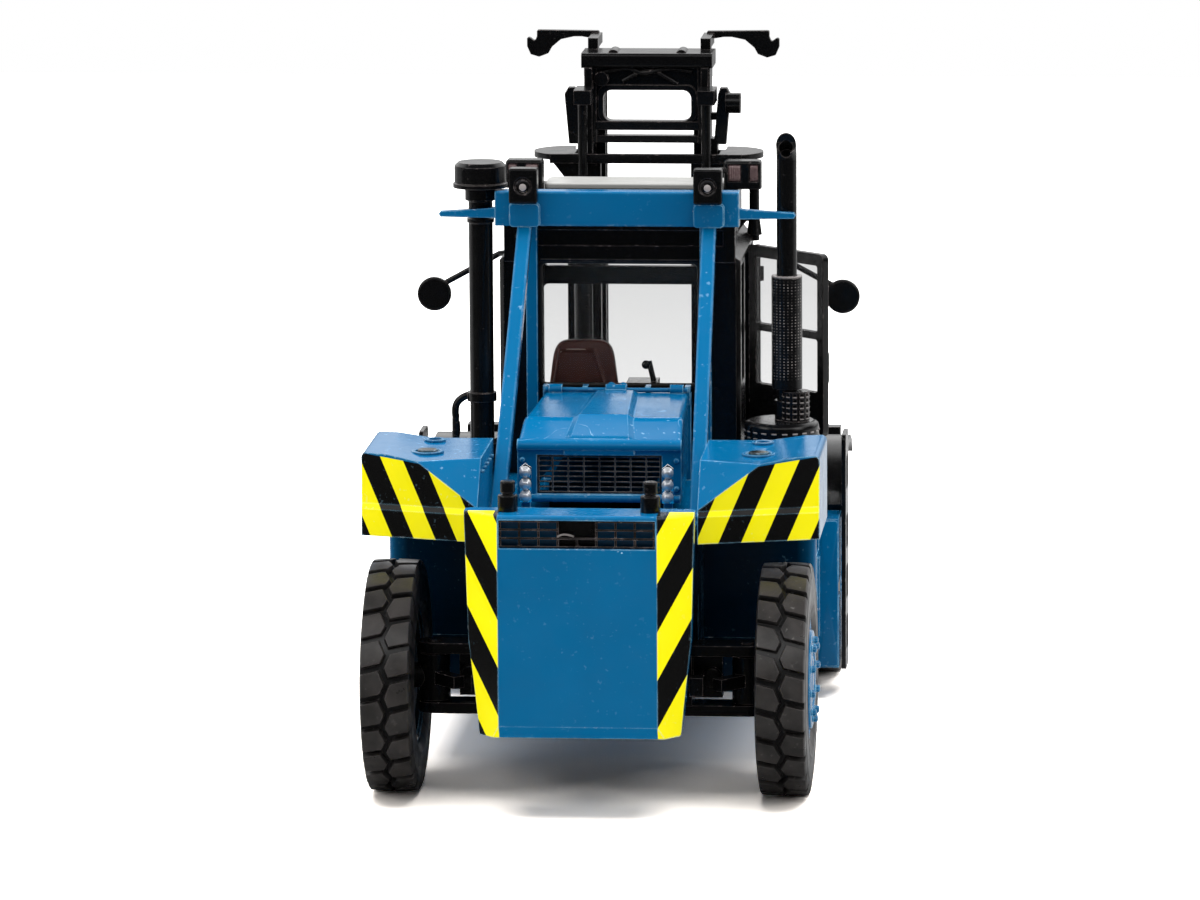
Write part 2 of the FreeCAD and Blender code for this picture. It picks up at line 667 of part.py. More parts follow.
def hood():
    """Rolled cover with a raised middle and an open rear frame for the grille."""
    outer = hood_body(0)
    outer = round_edges(outer, 0.6, lambda e: e.BoundBox.ZMin > HOOD_Z_NOSE + 0.3
                        and abs(e.CenterOfMass.x) > HOOD_W_FRONT - 0.5)
    outer = outer.fuse(hood_bulge())
    end = T(HOOD_FRONT)
    w = HOOD_W_FRONT - HOOD_WALL
    window = box(-MESH_W, MESH_W, T(HOOD_REAR) - 1, T(HOOD_REAR) + 2, MESH_LOW, MESH_HIGH)
    open_front = box(-w, w, end - 2, end + 1, 30, HOOD_Z_TOP - 2.4)
    body = outer.cut([hood_body(HOOD_WALL), window, open_front])
    r = HOOD_W_REAR - 0.3
    rail = cyl((-r, T(HOOD_REAR) + 0.1, HOOD_BOTTOM + 0.25), (1, 0, 0), 0.48, 2 * r)
    lugs = [cyl((x - h, T(HINGE_Y), HINGE_Z), (1, 0, 0), LUG_R, 2 * h)
            for x, h in ((-LUG_X, 0.9), (0.0, 1.4), (LUG_X, 0.9))]
    pin = cyl((-20, T(HINGE_Y), HINGE_Z), (1, 0, 0), HINGE_R + FIT, 40)
    return fuse([body, rail] + lugs).cut(pin)


def hood_grille():
    """Slats and uprights in a frame, seated in the opening of the hood's rear face."""
    w, z0, z1 = MESH_W, MESH_LOW, MESH_HIGH
    y = T(HOOD_REAR)
    hole = box(-w + 0.3, w - 0.3, y - 1, y + 2, z0 + 0.3, z1 - 0.3)
    frame = box(-w, w, y + 0.05, y + 0.8, z0, z1).cut(hole)
    bars = [frame]
    for k in range(1, 7):
        z = z0 + 0.15 + (z1 - z0 - 0.3) * k / 7
        bars.append(box(-w + 0.2, w - 0.2, y + 0.25, y + 0.6, z - 0.09, z + 0.09))
    for k in range(1, 8):
        x = -w + 2 * w * k / 8
        bars.append(box(x - 0.11, x + 0.11, y + 0.1, y + 0.7, z0 + 0.2, z1 - 0.2))
    return fuse(bars)


def hood_hinge():
    """Rail on the cab side that carries the hood's hinge pin, with two studs at the middle lug."""
    y = T(HINGE_Y)
    z = HINGE_Z
    pin = cyl((-9.6, y, z), (1, 0, 0), HINGE_R, 19.2)
    posts = [box(x - 0.35, x + 0.35, y + 0.15, y + 1.9, z - 2.0, z + 0.45) for x in (-9.5, -4.2, 4.2, 9.5)]
    rail = box(-9.9, 9.9, y + 1.2, y + 2.2, DECK_Z - 0.4, z - 0.6)
    stud = Part.makeSphere(0.6, V(0.8, y + 1.6, z + 0.2))
    neck = box(-1.6, 1.6, y + 1.2, y + 2.2, z - 0.8, z - 0.1)
    return fuse([pin, rail, neck] + posts + both(stud))


def engine_block():
    return box(-7.0, 7.0, T(38), T(57), DECK_Z - 0.4, 37.2)


def tail_lamps():
    """A pointed plate with three round lenses on each side of the hood."""
    lamps = []
    for s in (-1, 1):
        x = s * CLUSTER_X
        h = 0.75
        outline = [(x - h, 36.0), (x + h, 36.0), (x + h, 40.6), (x, 41.2), (x - h, 40.6)]
        plate = front(outline, T(29.3), T(29.8))
        rounds = []
        for z in (37.0, 38.5, 40.0):
            rounds.append(cyl((x, T(29.4), z), (0, -1, 0), 0.68, 0.5))
            rounds.append(Part.makeSphere(0.6, V(x, T(29.0), z)))
        lamps.append(fuse([plate] + rounds))
    return compound(lamps)


def tail_lamp_brackets():
    """Foot and back plate of each lamp cluster."""
    x = CLUSTER_X
    foot = box(x - 1.2, x + 1.2, T(28.4), T(30.4), DECK_Z - 0.1, DECK_Z + 1.2)
    foot = round_edges(foot, 0.25, along(1))
    back = box(x - 0.6, x + 0.6, T(29.8), T(30.3), DECK_Z + 0.6, 40.4)
    return both(fuse([foot, back]))


def deck_knobs():
    """Two turned knobs on the tail's lip."""
    knobs = []
    for s in (-1, 1):
        x = s * KNOB_X
        low = cyl((x, T(3.6), TAIL_TOP), (0, 0, 1), 1.27, 2.1)
        low = round_edges(low, 0.2, lambda e: e.CenterOfMass.z > TAIL_TOP + 1.9)
        neck = cyl((x, T(3.6), TAIL_TOP + 2.0), (0, 0, 1), 0.72, 0.6)
        head = cyl((x, T(3.6), TAIL_TOP + 2.4), (0, 0, 1), 0.95, 1.5)
        head = round_edges(head, 0.25, lambda e: e.CenterOfMass.z > TAIL_TOP + 3.7)
        knobs.append(fuse([low, neck, head]))
    return compound(knobs)


def chassis():
    """Box frame between the axles, with side plates reaching forward to the mast pins."""
    y0, y1 = T(TAIL_LEN), T(108.0)
    core = box(-BODY_W + 1.0, BODY_W - 1.0, y0, T(96.0), 10.0, DECK_Z - 0.4)
    core = core.cut(box(-20, 20, y0 - 1, T(40.0), 0, 16.0))
    plate = side([(y0, 16.0), (y0, DECK_Z - 0.4), (T(97), DECK_Z - 0.4), (T(106), 24.0), (y1, 18.0),
                  (y1, 7.0), (T(92), 7.0), (T(50), 8.0), (T(40), 10.0)], EAR_X, BODY_W)
    body = fuse([core] + both(plate))
    body = body.cut(cyl((-20, FRONT_AXLE_Y, AXLE_Z), (1, 0, 0), HOUSING_R, 40))
    ear = box(EAR_X, BODY_W, T(106), T(TILT_Y), TILT_Z - 2.0, TILT_Z + 2.5)
    ear = ear.fuse(cyl((EAR_X, T(TILT_Y), TILT_Z), (1, 0, 0), 2.0, BODY_W - EAR_X))
    extras = both(ear) + both(cyl((FOOT_IN, T(TILT_Y), TILT_Z), (1, 0, 0), TILT_PIN_R, BODY_W - FOOT_IN))
    for x in EAR_PAIR:
        lug = box(x, x + EAR_WALL, T(95.8), T(BASE_Y), BASE_Z - 1.2, BASE_Z + 1.2)
        extras += both(lug.fuse(cyl((x, T(BASE_Y), BASE_Z), (1, 0, 0), 1.2, EAR_WALL)))
    pin = cyl((EAR_PAIR[0], T(BASE_Y), BASE_Z), (1, 0, 0), PIN_R, EAR_PAIR[1] + EAR_WALL - EAR_PAIR[0])
    return fuse([body] + extras + both(pin))


def arch_wall():
    """Wall ahead of a rear wheel, its outer corner rounded, under the walkway."""
    y = T(FENDER_FRONT) + 0.4
    wall = box(BODY_W, WALL_OUT, y, y + 1.4, WALL_LOW, FENDER_BOTTOM - 1.7)
    return round_edges(wall, 1.0, lambda e: along(2)(e) and e.CenterOfMass.x > WALL_OUT - 0.1
                       and e.CenterOfMass.y < y + 0.1)


def step_box():
    """Box behind a front wheel, hollowed for the wheel, with a slot as its foothold."""
    step = box(TANK_OUT - 3.0, STEP_OUT, T(81.0), T(STEP_END), 4.4, STEP_TOP)
    slot = box(STEP_OUT - 1.4, STEP_OUT + 1, T(80), T(90), 14.0, 16.2)
    return step.cut([slot, cyl((0, FRONT_AXLE_Y, AXLE_Z), (1, 0, 0), TYRE_R + 0.9, 40)])


def side_tank(side_sign):
    """Box between the axles with the walkway on top; the left one has the steps cut in."""
    x0, x1 = BODY_W, TANK_OUT
    y0, y1 = T(37.5), T(82.0)
    low = TANK_BOTTOM
    deck = box(x0, x1, T(FENDER_FRONT) + 0.2, T(87.0), 31.5, FENDER_BOTTOM + 0.2)
    outline = [(x0, y0), (x1 - 0.8, y0), (x1, y0 + 0.8), (x1, y1 - 1.5), (x1 - 1.5, y1), (x0, y1)]
    body = plan(outline, low, TANK_TOP)
    body = round_edges(body, 0.8, lambda e: e.BoundBox.ZMax < low + 0.1 and e.CenterOfMass.x > x1 - 0.5)
    inner = box(x0, x0 + 6.0, y0, y1, TANK_TOP - 0.2, 31.6)
    common = [deck, inner, arch_wall(), step_box()]
    if side_sign > 0:
        body = body.cut(box(x1 - 1.0, x1 + 1, y0 + 20.0, y1 - 4.0, 21.5, 40))
        bands = [box(x1 - 0.4, x1 + 0.35, y0 + a, y0 + a + 1.4, low + 0.6, 21.0) for a in (24.0, 36.0)]
        return fuse([body] + common + bands)
    steps = [box(x1 - 4.0, x1 + 1, y1 - 15.0, y1 - 4.0, low + 1.4 + 5.4 * k, low + 5.4 + 5.4 * k)
             for k in range(3)]
    return mirror(fuse([body.cut(steps)] + common))


def front_fender(side_sign):
    """Curved guard over a front twin wheel, with the upright side plate behind the wheel."""
    y = FRONT_AXLE_Y
    r = TYRE_R + 1.9
    x0, x1 = BODY_W, FRONT_OUT_X + 0.8
    ring = cyl((x0, y, AXLE_Z), (1, 0, 0), r + 1.0, x1 - x0)
    ring = ring.cut(cyl((x0 - 1, y, AXLE_Z), (1, 0, 0), r, x1 - x0 + 2))
    body = ring.common(box(x0 - 1, x1 + 1, T(88.2), T(111.5), AXLE_Z + 8.6, 60))
    stay = box(x0, x0 + 0.8, T(96), T(103), 26.0, 33.4).cut(cyl((x0 - 2, y, AXLE_Z), (1, 0, 0), r, 4))
    plate = box(x1 - 0.1, x1 + 0.5, T(84.4), T(91.0), 3.4, 36.0)
    plate = round_edges(plate, 0.9, along(0))
    holes = [round_edges(box(x1 - 1, x1 + 1, T(85.8), T(89.4), z, z + 4.6), 0.6, along(0))
             for z in (6.0, 13.0, 20.0, 28.2)]
    return sided(fuse([body, stay, plate.cut(holes)]), side_sign)


# ---------------------------------------------------------------- guard, stacks and lamps
def guard_beam():
    """Cross beam on two posts, with the struts' bosses and a slim arm at each end."""
    y0, y1 = T(BEAM_Y), T(BEAM_Y + BEAM_T)
    beam = round_edges(box(-BEAM_W, BEAM_W, y0, y1, BEAM_LOW, BEAM_HIGH), 0.3, along(0))
    outline = [(BEAM_W - 0.5, ARM_Z - 0.55), (ARM_W, ARM_Z - 0.4), (ARM_W + 0.25, ARM_Z),
               (ARM_W, ARM_Z + 0.35), (BEAM_W + 1.0, ARM_Z + 0.75), (BEAM_W - 0.5, ARM_Z + 1.0)]
    arm = front(outline, y0 + 0.1, y0 + 1.0)
    boss = box(LAMP_X - 2.0, LAMP_X + 2.0, y0 - 0.8, y0 + 0.2, BEAM_LOW, BEAM_LOW + 3.1)
    boss = round_edges(boss, 0.5, along(1))
    post = box(POST_X - POST_W / 2, POST_X + POST_W / 2, y0 + 2.1, y0 + 3.5, DECK_Z - 0.4, BEAM_HIGH - 1.0)
    frame = fuse([beam] + both(arm) + both(boss) + both(post))
    room = cyl((-STACK_X, T(STACK_Y), 60), (0, 0, 1), STACK_NECK_R + 0.15, 20)
    return frame.cut([room, cyl((EXHAUST_X, T(STACK_Y), 60), (0, 0, 1), EXHAUST_R + 0.1, 25)])


def guard_strut(side_sign):
    """Slanting strut from the tail's deck up to the beam."""
    s = bar((13.0, T(29.8), DECK_Z - 0.2), (12.3, T(BEAM_Y) + 0.8, BEAM_LOW + 0.2), STRUT_W, STRUT_W)
    s = round_edges(s, 0.25, lambda e: e.Length > 20)
    s = s.cut([box(0, 30, T(0), T(90), DECK_Z - 5, DECK_Z), box(0, 30, T(0), T(90), BEAM_LOW, BEAM_LOW + 5)])
    foot = box(11.6, FENDER_IN - 0.05, T(27.6), T(32.8), DECK_Z, DECK_Z + 0.7)
    return sided(fuse([s, foot]), side_sign)


def work_lamps():
    """Two square lamps hung behind the beam, each on a bent bracket."""
    z0, y1 = BEAM_LOW + 3.35, T(BEAM_Y) - 0.2
    lamps = []
    for s in (-1, 1):
        x = s * LAMP_X
        body = box(x - LAMP_W, x + LAMP_W, y1 - 2.4, y1, z0, z0 + LAMP_H)
        body = round_edges(body, 0.3, any_edge)
        well = cyl((x, y1 - 2.5, z0 + LAMP_H / 2), (0, 1, 0), 1.15, 0.6)
        lens = cyl((x, y1 - 2.3, z0 + LAMP_H / 2), (0, 1, 0), 0.8, 0.8)
        lens = round_edges(lens, 0.2, lambda e: e.CenterOfMass.y < y1 - 2.2)
        neck = box(x - 0.9, x + 0.9, y1 - 0.2, y1 + 1.3, BEAM_HIGH, BEAM_HIGH + 0.5)
        lamps.append(fuse([body.cut(well), lens, neck]))
    return compound(lamps)


def air_intake_stack():
    """Intake pipe with its drum cap, clamp, elbow and base."""
    x, y = -STACK_X, T(STACK_Y)
    rim_z = BEAM_HIGH + 0.2
    neck_z = rim_z - 1.9
    profile = [(0, 33.5), (2.6, 33.5), (2.6, 38.0), (2.1, 38.6), (STACK_R, 38.6), (STACK_R, 67.7),
               (STACK_R + 0.2, 67.8), (STACK_R + 0.2, 68.3), (STACK_R, 68.4), (STACK_R, neck_z),
               (STACK_NECK_R, neck_z + 0.2), (STACK_NECK_R, rim_z), (STACK_CAP_R + 0.2, rim_z),
               (STACK_CAP_R + 0.2, rim_z + 0.55), (STACK_CAP_R, rim_z + 0.65), (STACK_CAP_R, STACK_TOP - 0.5),
               (STACK_CAP_R - 0.5, STACK_TOP), (0, STACK_TOP)]
    face = Part.Face(Part.makePolygon([V(x + r, y, z) for r, z in profile] + [V(x, y, 33.5)]))
    pipe = face.revolve(V(x, y, 0), V(0, 0, 1), 360)
    clamp = cyl((x, y, 43.6), (0, 0, 1), STACK_R + 0.35, 1.2)
    elbow = smooth_pipe([(x - 0.5, y, 44.2), (x - 2.4, y, 44.1), (x - 3.4, y, 43.2), (x - 3.6, y, 41.5),
                         (x - 3.6, y, 38.8)], 0.5)
    return fuse([pipe, clamp, elbow])


def exhaust_stack():
    """Exhaust pipe, its end turned back and cut open."""
    x, y = EXHAUST_X, T(STACK_Y)
    z = EXHAUST_TOP - 3.2
    turn = 2.6
    pipe = cyl((x, y, 44.0), (0, 0, 1), EXHAUST_R, z - 44.0)
    bend = Part.makeTorus(turn, EXHAUST_R, V(x, y - turn, z), V(1, 0, 0), -180, 180, 360)
    outline = [(y - 1.9, z + 6.2), (y + 3, z + 6.2), (y + 3, z), (y - turn, z), (y - 0.9, z + 2.4)]
    keep = side(outline, x - 3, x + 3)
    bend = bend.common(keep)
    bore = cyl((x, y - 0.2, z + 0.6), (0, -0.7, 0.7), 0.95, 4.0)
    return fuse([pipe, bend]).cut(bore)


def exhaust_shield():
    """Long sleeve around the exhaust, held by three rings."""
    x, y = EXHAUST_X, T(STACK_Y)
    shield = tube((x, y, SHIELD_LOW), (0, 0, 1), 2.05, 1.7, SHIELD_LEN)
    rings = [tube((x, y, SHIELD_LOW + k * (SHIELD_LEN - 1.0) / 2 + 0.15), (0, 0, 1), 1.8, EXHAUST_R, 0.7)
             for k in range(3)]
    return fuse([shield] + rings)


def muffler():
    """Silencer drum with its rounded lid and the slotted outlet sleeve."""
    x, y = EXHAUST_X, T(STACK_Y)
    sx, sy = x + 1.2, y - 0.9
    body = cyl((x - 0.7, y - 0.6, 33.5), (0, 0, 1), 5.0, DRUM_TOP - 33.5)
    body = round_edges(body, 0.8, lambda e: e.CenterOfMass.z > DRUM_TOP - 0.4)
    sleeve = cyl((sx, sy, DRUM_TOP - 0.4), (0, 0, 1), 1.85, SHIELD_LOW + 0.2 - DRUM_TOP)
    slots = []
    for row in range(SLOT_ROWS):
        z = DRUM_TOP + 0.35 + 0.74 * row
        for k in range(SLOTS):
            slot = box(1.55, 2.4, -0.26, 0.26, z, z + 0.45)
            slot.rotate(V(0, 0, 0), V(0, 0, 1), 360.0 * k / SLOTS)
            slot.translate(V(sx, sy, 0))
            slots.append(slot)
    foot = cyl((x, y, DRUM_TOP - 0.4), (0, 0, 1), EXHAUST_R + 0.3, 3.0)
    return fuse([body, sleeve.cut(slots), foot]).cut(cyl((x, y, 44.0), (0, 0, 1), EXHAUST_R, 3))


# ---------------------------------------------------------------- cab
def cab_block(t):
    """Cab outline in plan and from behind, drawn in by t for the inside."""
    y0, y1 = T(CAB_REAR) + t, T(CAB_FRONT) - t
    w, r = CAB_W - t, CAB_ROOF_W - t
    back = 0.6 if t == 0 else 0.2
    floor = CAB_FLOOR + (1.2 if t else 0.0)
    top = CAB_TOP - (1.2 if t else 0.0)
    wide = plan([(-w + back, y0), (w - back, y0), (w, y0 + back), (w, y1 - 3.6), (w - 2.2, y1),
                 (-w + 2.2, y1), (-w, y1 - 3.6), (-w, y0 + back)], floor, top)
    half = [(w, floor), (w, CAB_WAIST), (r, CAB_WAIST + 1.4), (r, top)]
    tall = front(half + [(-x, z) for x, z in reversed(half)], y0 - 1, y1 + 1)
    return wide.common(tall)


def quarter_window(x0, x1):
    """Block through the window behind the door, between two X."""
    return box(x0, x1, T(CAB_REAR) + 2.0, T(DOOR_HINGE_Y - DOOR_LEN) - 1.6, SILL_Z, DOOR_HIGH)


def screen_window(y0, y1):
    """The windscreen's lower and upper field, with the bar between them."""
    w = CAB_W - 3.2
    fields = ((CAB_FLOOR + 6.0, SCREEN_BAR[0]), (SCREEN_BAR[1], CAB_TOP - 3.0))
    return [round_edges(box(-w, w, y0, y1, z0, z1), 0.8, along(1)) for z0, z1 in fields]


def cab_openings():
    """Rear window, windscreen and, on each side, the doorway and the quarter window."""
    y0, y1 = T(CAB_REAR), T(CAB_FRONT)
    w = CAB_W
    rear = round_edges(box(-WINDOW_W, WINDOW_W, y0 - 1, y0 + 3, SILL_Z, HEAD_Z), 0.8, along(1))
    door = box(w - 3, w + 3, T(DOOR_HINGE_Y - DOOR_LEN) - 0.2, T(DOOR_HINGE_Y) + 0.2,
               DOOR_LOW - 0.2, DOOR_HIGH + 0.2)
    return [rear] + screen_window(y1 - 3, y1 + 3) + both(door) + both(quarter_window(w - 3, w + 3))


def cab_shell():
    """Hollow cab with its openings cut, the rear frame and the lamp poles at its front corners."""
    y0 = T(CAB_REAR)
    shell = cab_block(0).cut([cab_block(CAB_WALL)] + cab_openings())
    frame = box(-CAB_FRAME_W, CAB_FRAME_W, y0 - 0.35, y0 + 0.5, HEAD_Z, CAB_TOP - 1.8)
    frame = frame.cut(box(-CAB_FRAME_W + 1.6, CAB_FRAME_W - 1.6, y0 - 1, y0, HEAD_Z + 2.2, CAB_TOP - 2.6))
    x = ROOF_LAMP_X + 1.5
    z = CAB_WAIST - 0.5
    pole = cyl((x, T(91), z), (0, 0, 1), 0.69, CAB_TOP - z)
    flare = cone((x, T(91), z + 0.8), (0, 0, 1), 1.05, 0.7, 2.6)
    hoop = bent([(CAB_ROOF_W - 0.6, T(91), z + 1.4), (CAB_ROOF_W + 0.8, T(91), z + 3.0),
                 (x, T(91), z + 3.1)], 0.4)
    return fuse([shell, frame] + both(pole) + both(flare) + both(hoop))


def cab_glass():
    """Rear window, windscreen and quarter windows, each cut to its opening."""
    y0, y1 = T(CAB_REAR), T(CAB_FRONT)
    rear = box(-WINDOW_W, WINDOW_W, y0 + 0.35, y0 + 0.75, SILL_Z, HEAD_Z)
    side_panes = both(quarter_window(CAB_W - 0.75, CAB_W - 0.35))
    return compound([rear] + screen_window(y1 - 0.75, y1 - 0.35) + side_panes)


def roof_panel():
    """Light roof window at the front of the cab's top."""
    p = box(-12.2, 12.2, T(88.9), T(96.2), CAB_TOP, CAB_TOP + 0.7)
    p = round_edges(p, 1.2, along(2))
    return round_edges(p, 0.3, lambda e: e.BoundBox.ZMin > CAB_TOP + 0.6)


def door_fields(x0, x1):
    """Blocks through a door's upper and lower pane."""
    y1 = T(DOOR_HINGE_Y)
    y0 = y1 - DOOR_LEN
    heights = ((PANE_LOW, PANE_SPLIT - 0.5), (PANE_SPLIT + 0.5, DOOR_HIGH - 1.6))
    return [box(x0, x1, y0 + DOOR_BORDER, y1 - DOOR_BORDER - 0.2, z0, z1) for z0, z1 in heights]


def door_frame():
    """A door in its closed place on the right side, hinged at its front edge."""
    y1 = T(DOOR_HINGE_Y)
    y0 = y1 - DOOR_LEN
    x0, x1 = CAB_W - DOOR_T, CAB_W
    pin_x, pin_y = CAB_W + DOOR_PIN_OUT, y1 + DOOR_PIN_Y
    p = round_edges(box(x0, x1, y0, y1, DOOR_LOW, DOOR_HIGH), 0.9, along(0))
    fields = [round_edges(f, 0.4, along(0)) for f in door_fields(x0 - 1, x1 + 1)]
    handle = box(x1 - 0.1, x1 + 0.5, y0 + 0.4, y0 + 0.9, 44.0, 48.0)
    parts = [p.cut(fields), handle]
    for z in HINGE_HEIGHTS:
        parts.append(cyl((pin_x, pin_y, z), (0, 0, 1), 0.55, 2.0))
        parts.append(box(CAB_W - 0.5, pin_x + 0.2, y1 - 1.2, pin_y, z, z + 2.0))
    return fuse(parts).cut(cyl((pin_x, pin_y, 30), (0, 0, 1), DOOR_PIN_R + 2 * FIT, 40))


def door_panes():
    """Upper and lower glass of a door."""
    x = CAB_W - DOOR_T / 2
    return compound(door_fields(x - 0.2, x + 0.2))


def hinge_pins():
    """Pins held by blocks with rounded ends on the door posts."""
    pins = []
    x, y = CAB_W + DOOR_PIN_OUT, T(DOOR_HINGE_Y) + DOOR_PIN_Y
    for z in HINGE_HEIGHTS:
        pin = cyl((x, y, z - 0.6), (0, 0, 1), DOOR_PIN_R, 3.2)
        blocks = []
        for low in (z - 0.6, z + 2.1):
            blocks.append(box(CAB_W, x + 0.45, y + 0.02, y + 1.2, low, low + 0.5))
            blocks.append(cyl((x, y, low), (0, 0, 1), 0.45, 0.5))
        pins += both(fuse([pin] + blocks))
    return pins


def opened(shape):
    """The right door's parts, swung open as the model stands."""
    s = shape.copy()
    s.rotate(V(CAB_W + DOOR_PIN_OUT, T(DOOR_HINGE_Y) + DOOR_PIN_Y, 0), V(0, 0, 1), DOOR_OPEN)
    return s


def operator_seat():
    """Cushion and back; the back tapers to its rounded top."""
    y = T(CAB_REAR + 8.0)
    x = SEAT_X
    cushion = round_edges(box(x - 4.4, x + 4.4, y + 1.0, y + 10.0, 40.6, 43.0), 0.8, any_edge)
    outline = [(x - 4.6, 41.4), (x + 4.6, 41.4), (x + 3.7, SEAT_TOP), (x - 3.7, SEAT_TOP)]
    back = front(outline, y - 0.8, y + 1.4)
    return fuse([cushion, round_edges(back, 0.9, any_edge)])


def seat_base():
    """Seat box, side console and its lever with a ball grip."""
    y = T(CAB_REAR + 8.0)
    x = SEAT_X
    floor = CAB_FLOOR + 1.2
    lever = [rod((x + 9.1, y + 5.4, 43.8), (x + 8.4, y + 5.4, 46.8), 0.38),
             Part.makeSphere(0.6, V(x + 8.0, y + 5.4, 46.3))]
    return fuse([box(x - 3.6, x + 3.6, y + 1.4, y + 9.0, floor, 40.6),
                 box(x + 5.4, x + 9.6, y + 1.0, y + 9.0, floor, 44.0)] + lever)


def steering_column():
    """Column, steering wheel and dashboard."""
    y = T(CAB_FRONT - 7.5)
    x = SEAT_X
    floor = CAB_FLOOR + 1.2
    column = rod((x, y + 4.0, floor), (x, y, 45.0), 0.8)
    wheel = Part.makeTorus(2.7, 0.3, V(x, y, 45.0), V(0, -0.35, 1), 0, 360, 360)
    hub = cyl((x, y, 44.7), (0, -0.35, 1), 0.8, 0.7)
    spoke = bar((x - 2.7, y, 45.0), (x + 2.7, y, 45.0), 0.5, 0.4, V(0, -0.33, 0.944))
    dash = box(-8.0, 10.0, y + 3.0, T(CAB_FRONT) - CAB_WALL, floor, 41.0)
    return fuse([column, wheel, hub, spoke, dash])


def mirror_arm(side_sign):
    """Round mirror on its stay from the cab's front corner."""
    y = T(96.0)
    arm = bent([(CAB_W - 1.2, T(CAB_FRONT - 3.4), 60.0), (CAB_W + 3.0, y + 1.0, 59.0),
                (MIRROR_X - 0.25, y + 1.0, MIRROR_Z + 0.8)], 0.4)
    head = round_edges(cyl((MIRROR_X, y, MIRROR_Z), (0, 1, 0), MIRROR_R, 1.0), 0.3, any_edge)
    return sided(fuse([arm, head]).cut(cab_block(0)), side_sign)


def roof_lamps():
    """Twin-pane lamp housings at the roof's front corners, with the cable tube of the right one."""
    z = CAB_TOP
    x = ROOF_LAMP_X
    head = box(x - 2.55, x + 2.55, T(88.8), T(91.6), z, z + 3.85)
    head = round_edges(head, 0.45, lambda e: e.BoundBox.ZMax > z + 0.1)
    wells = [box(x + a, x + b, T(88), T(89.2), z + 1.0, z + 3.4) for a, b in ((-2.0, -0.15), (0.95, 2.2))]
    head = head.cut(wells)
    cable = bent([(x - 3.85, T(87.6), z), (x - 3.85, T(87.6), z + 2.6), (x - 1.95, T(89.6), z + 2.6)], 0.4)
    return compound([mirror(head), fuse([head, cable])])


# ---------------------------------------------------------------- mast
def channel(x, y):
    """Right-hand channel: web outside, a deep back flange and a short front flange."""
    d = MAST_DEPTH / 2
    t = MAST_T
    web = box(x - t, x, y - d, y + d, MAST_BOTTOM, MAST_TOP)
    back = box(MAST_IN, x, y - d, y - d + t, MAST_BOTTOM, MAST_TOP)
    ahead = box(FLANGE_IN, x, y + d - t, y + d, MAST_BOTTOM, MAST_TOP)
    return fuse([web, back, ahead])


def outer_mast():
    """Two channels tied at three heights, with the foot eyes, tilt ears and the round-ended top plate."""
    y = T(MAST_Y)
    back = y - MAST_DEPTH / 2
    foot_out = EAR_X - 0.25
    disc = cyl((MAST_W, y + 2.0, MAST_TOP - 0.8), (0, 0, 1), DISC_R, 0.8)
    disc = disc.common(box(MAST_W - 0.3, 30, T(90), T(130), 0, 90))
    top = MAST_TOP - 0.8
    gusset = front([(MAST_W - 0.3, top - 3.2), (MAST_W + 2.2, top), (MAST_W - 0.3, top)], back, back + 0.6)
    web = [(T(TILT_Y) - 2.0, TILT_Z), (back + 0.3, MAST_BOTTOM), (back + 0.3, TILT_Z + 5)]
    foot = side(web, FOOT_IN, foot_out)
    foot = foot.fuse(cyl((FOOT_IN, T(TILT_Y), TILT_Z), (1, 0, 0), 2.1, foot_out - FOOT_IN))
    parts = [channel(MAST_W, y), disc, gusset, foot]
    for x in EAR_PAIR:
        ear = box(x, x + EAR_WALL, T(EYE_Y), back + 0.2, EYE_Z - 1.2, EYE_Z + 1.2)
        parts.append(ear.fuse(cyl((x, T(EYE_Y), EYE_Z), (1, 0, 0), 1.2, EAR_WALL)))
    parts.append(cyl((EAR_PAIR[0], T(EYE_Y), EYE_Z), (1, 0, 0), PIN_R, EAR_PAIR[1] + EAR_WALL - EAR_PAIR[0]))
    parts += [mirror(p) for p in parts]
    for z0, z1 in CROSS_BARS:
        parts.append(box(-MAST_W, MAST_W, back - 1.0, back + 0.1, z0, z1))
    parts.append(box(-MAST_W - 2.4, MAST_W + 2.4, back - 0.5, back + 0.5, MAST_TOP - 1.1, MAST_TOP + 0.2))
    return fuse(parts).cut(cyl((-20, T(TILT_Y), TILT_Z), (1, 0, 0), TILT_PIN_R + FIT, 40))


def lift_y():
    """Frame Y of the lift cylinders, just behind the outer mast."""
    return T(MAST_Y) - MAST_DEPTH / 2 - LIFT_R - 0.8


def lift_barrels():
    """Two lift cylinders standing behind the outer mast's flanges."""
    y = lift_y()
    barrel = cyl((LIFT_X, y, LIFT_LOW), (0, 0, 1), LIFT_R, LIFT_HIGH - LIFT_LOW)
    gland = cyl((LIFT_X, y, LIFT_HIGH - 1.4), (0, 0, 1), LIFT_R + 0.2, 1.4)
    bore = cyl((LIFT_X, y, LIFT_LOW + 1.0), (0, 0, 1), LIFT_ROD_R + FIT, LIFT_HIGH)
    return both(fuse([barrel, gland]).cut(bore))


def lift_rods():
    """Piston rods with the blocks that push the inner mast's head."""
    y = lift_y()
    z = HEAD_TOP - 6.6
    r = cyl((LIFT_X, y, LIFT_LOW + 1.2), (0, 0, 1), LIFT_ROD_R, z + 0.6 - LIFT_LOW - 1.2)
    cap = box(LIFT_X - 1.2, LIFT_X + 1.2, y - 0.9, T(SLIDE_Y) - 1.5, z, z + 2.0)
    return compound(both(fuse([r, cap])))


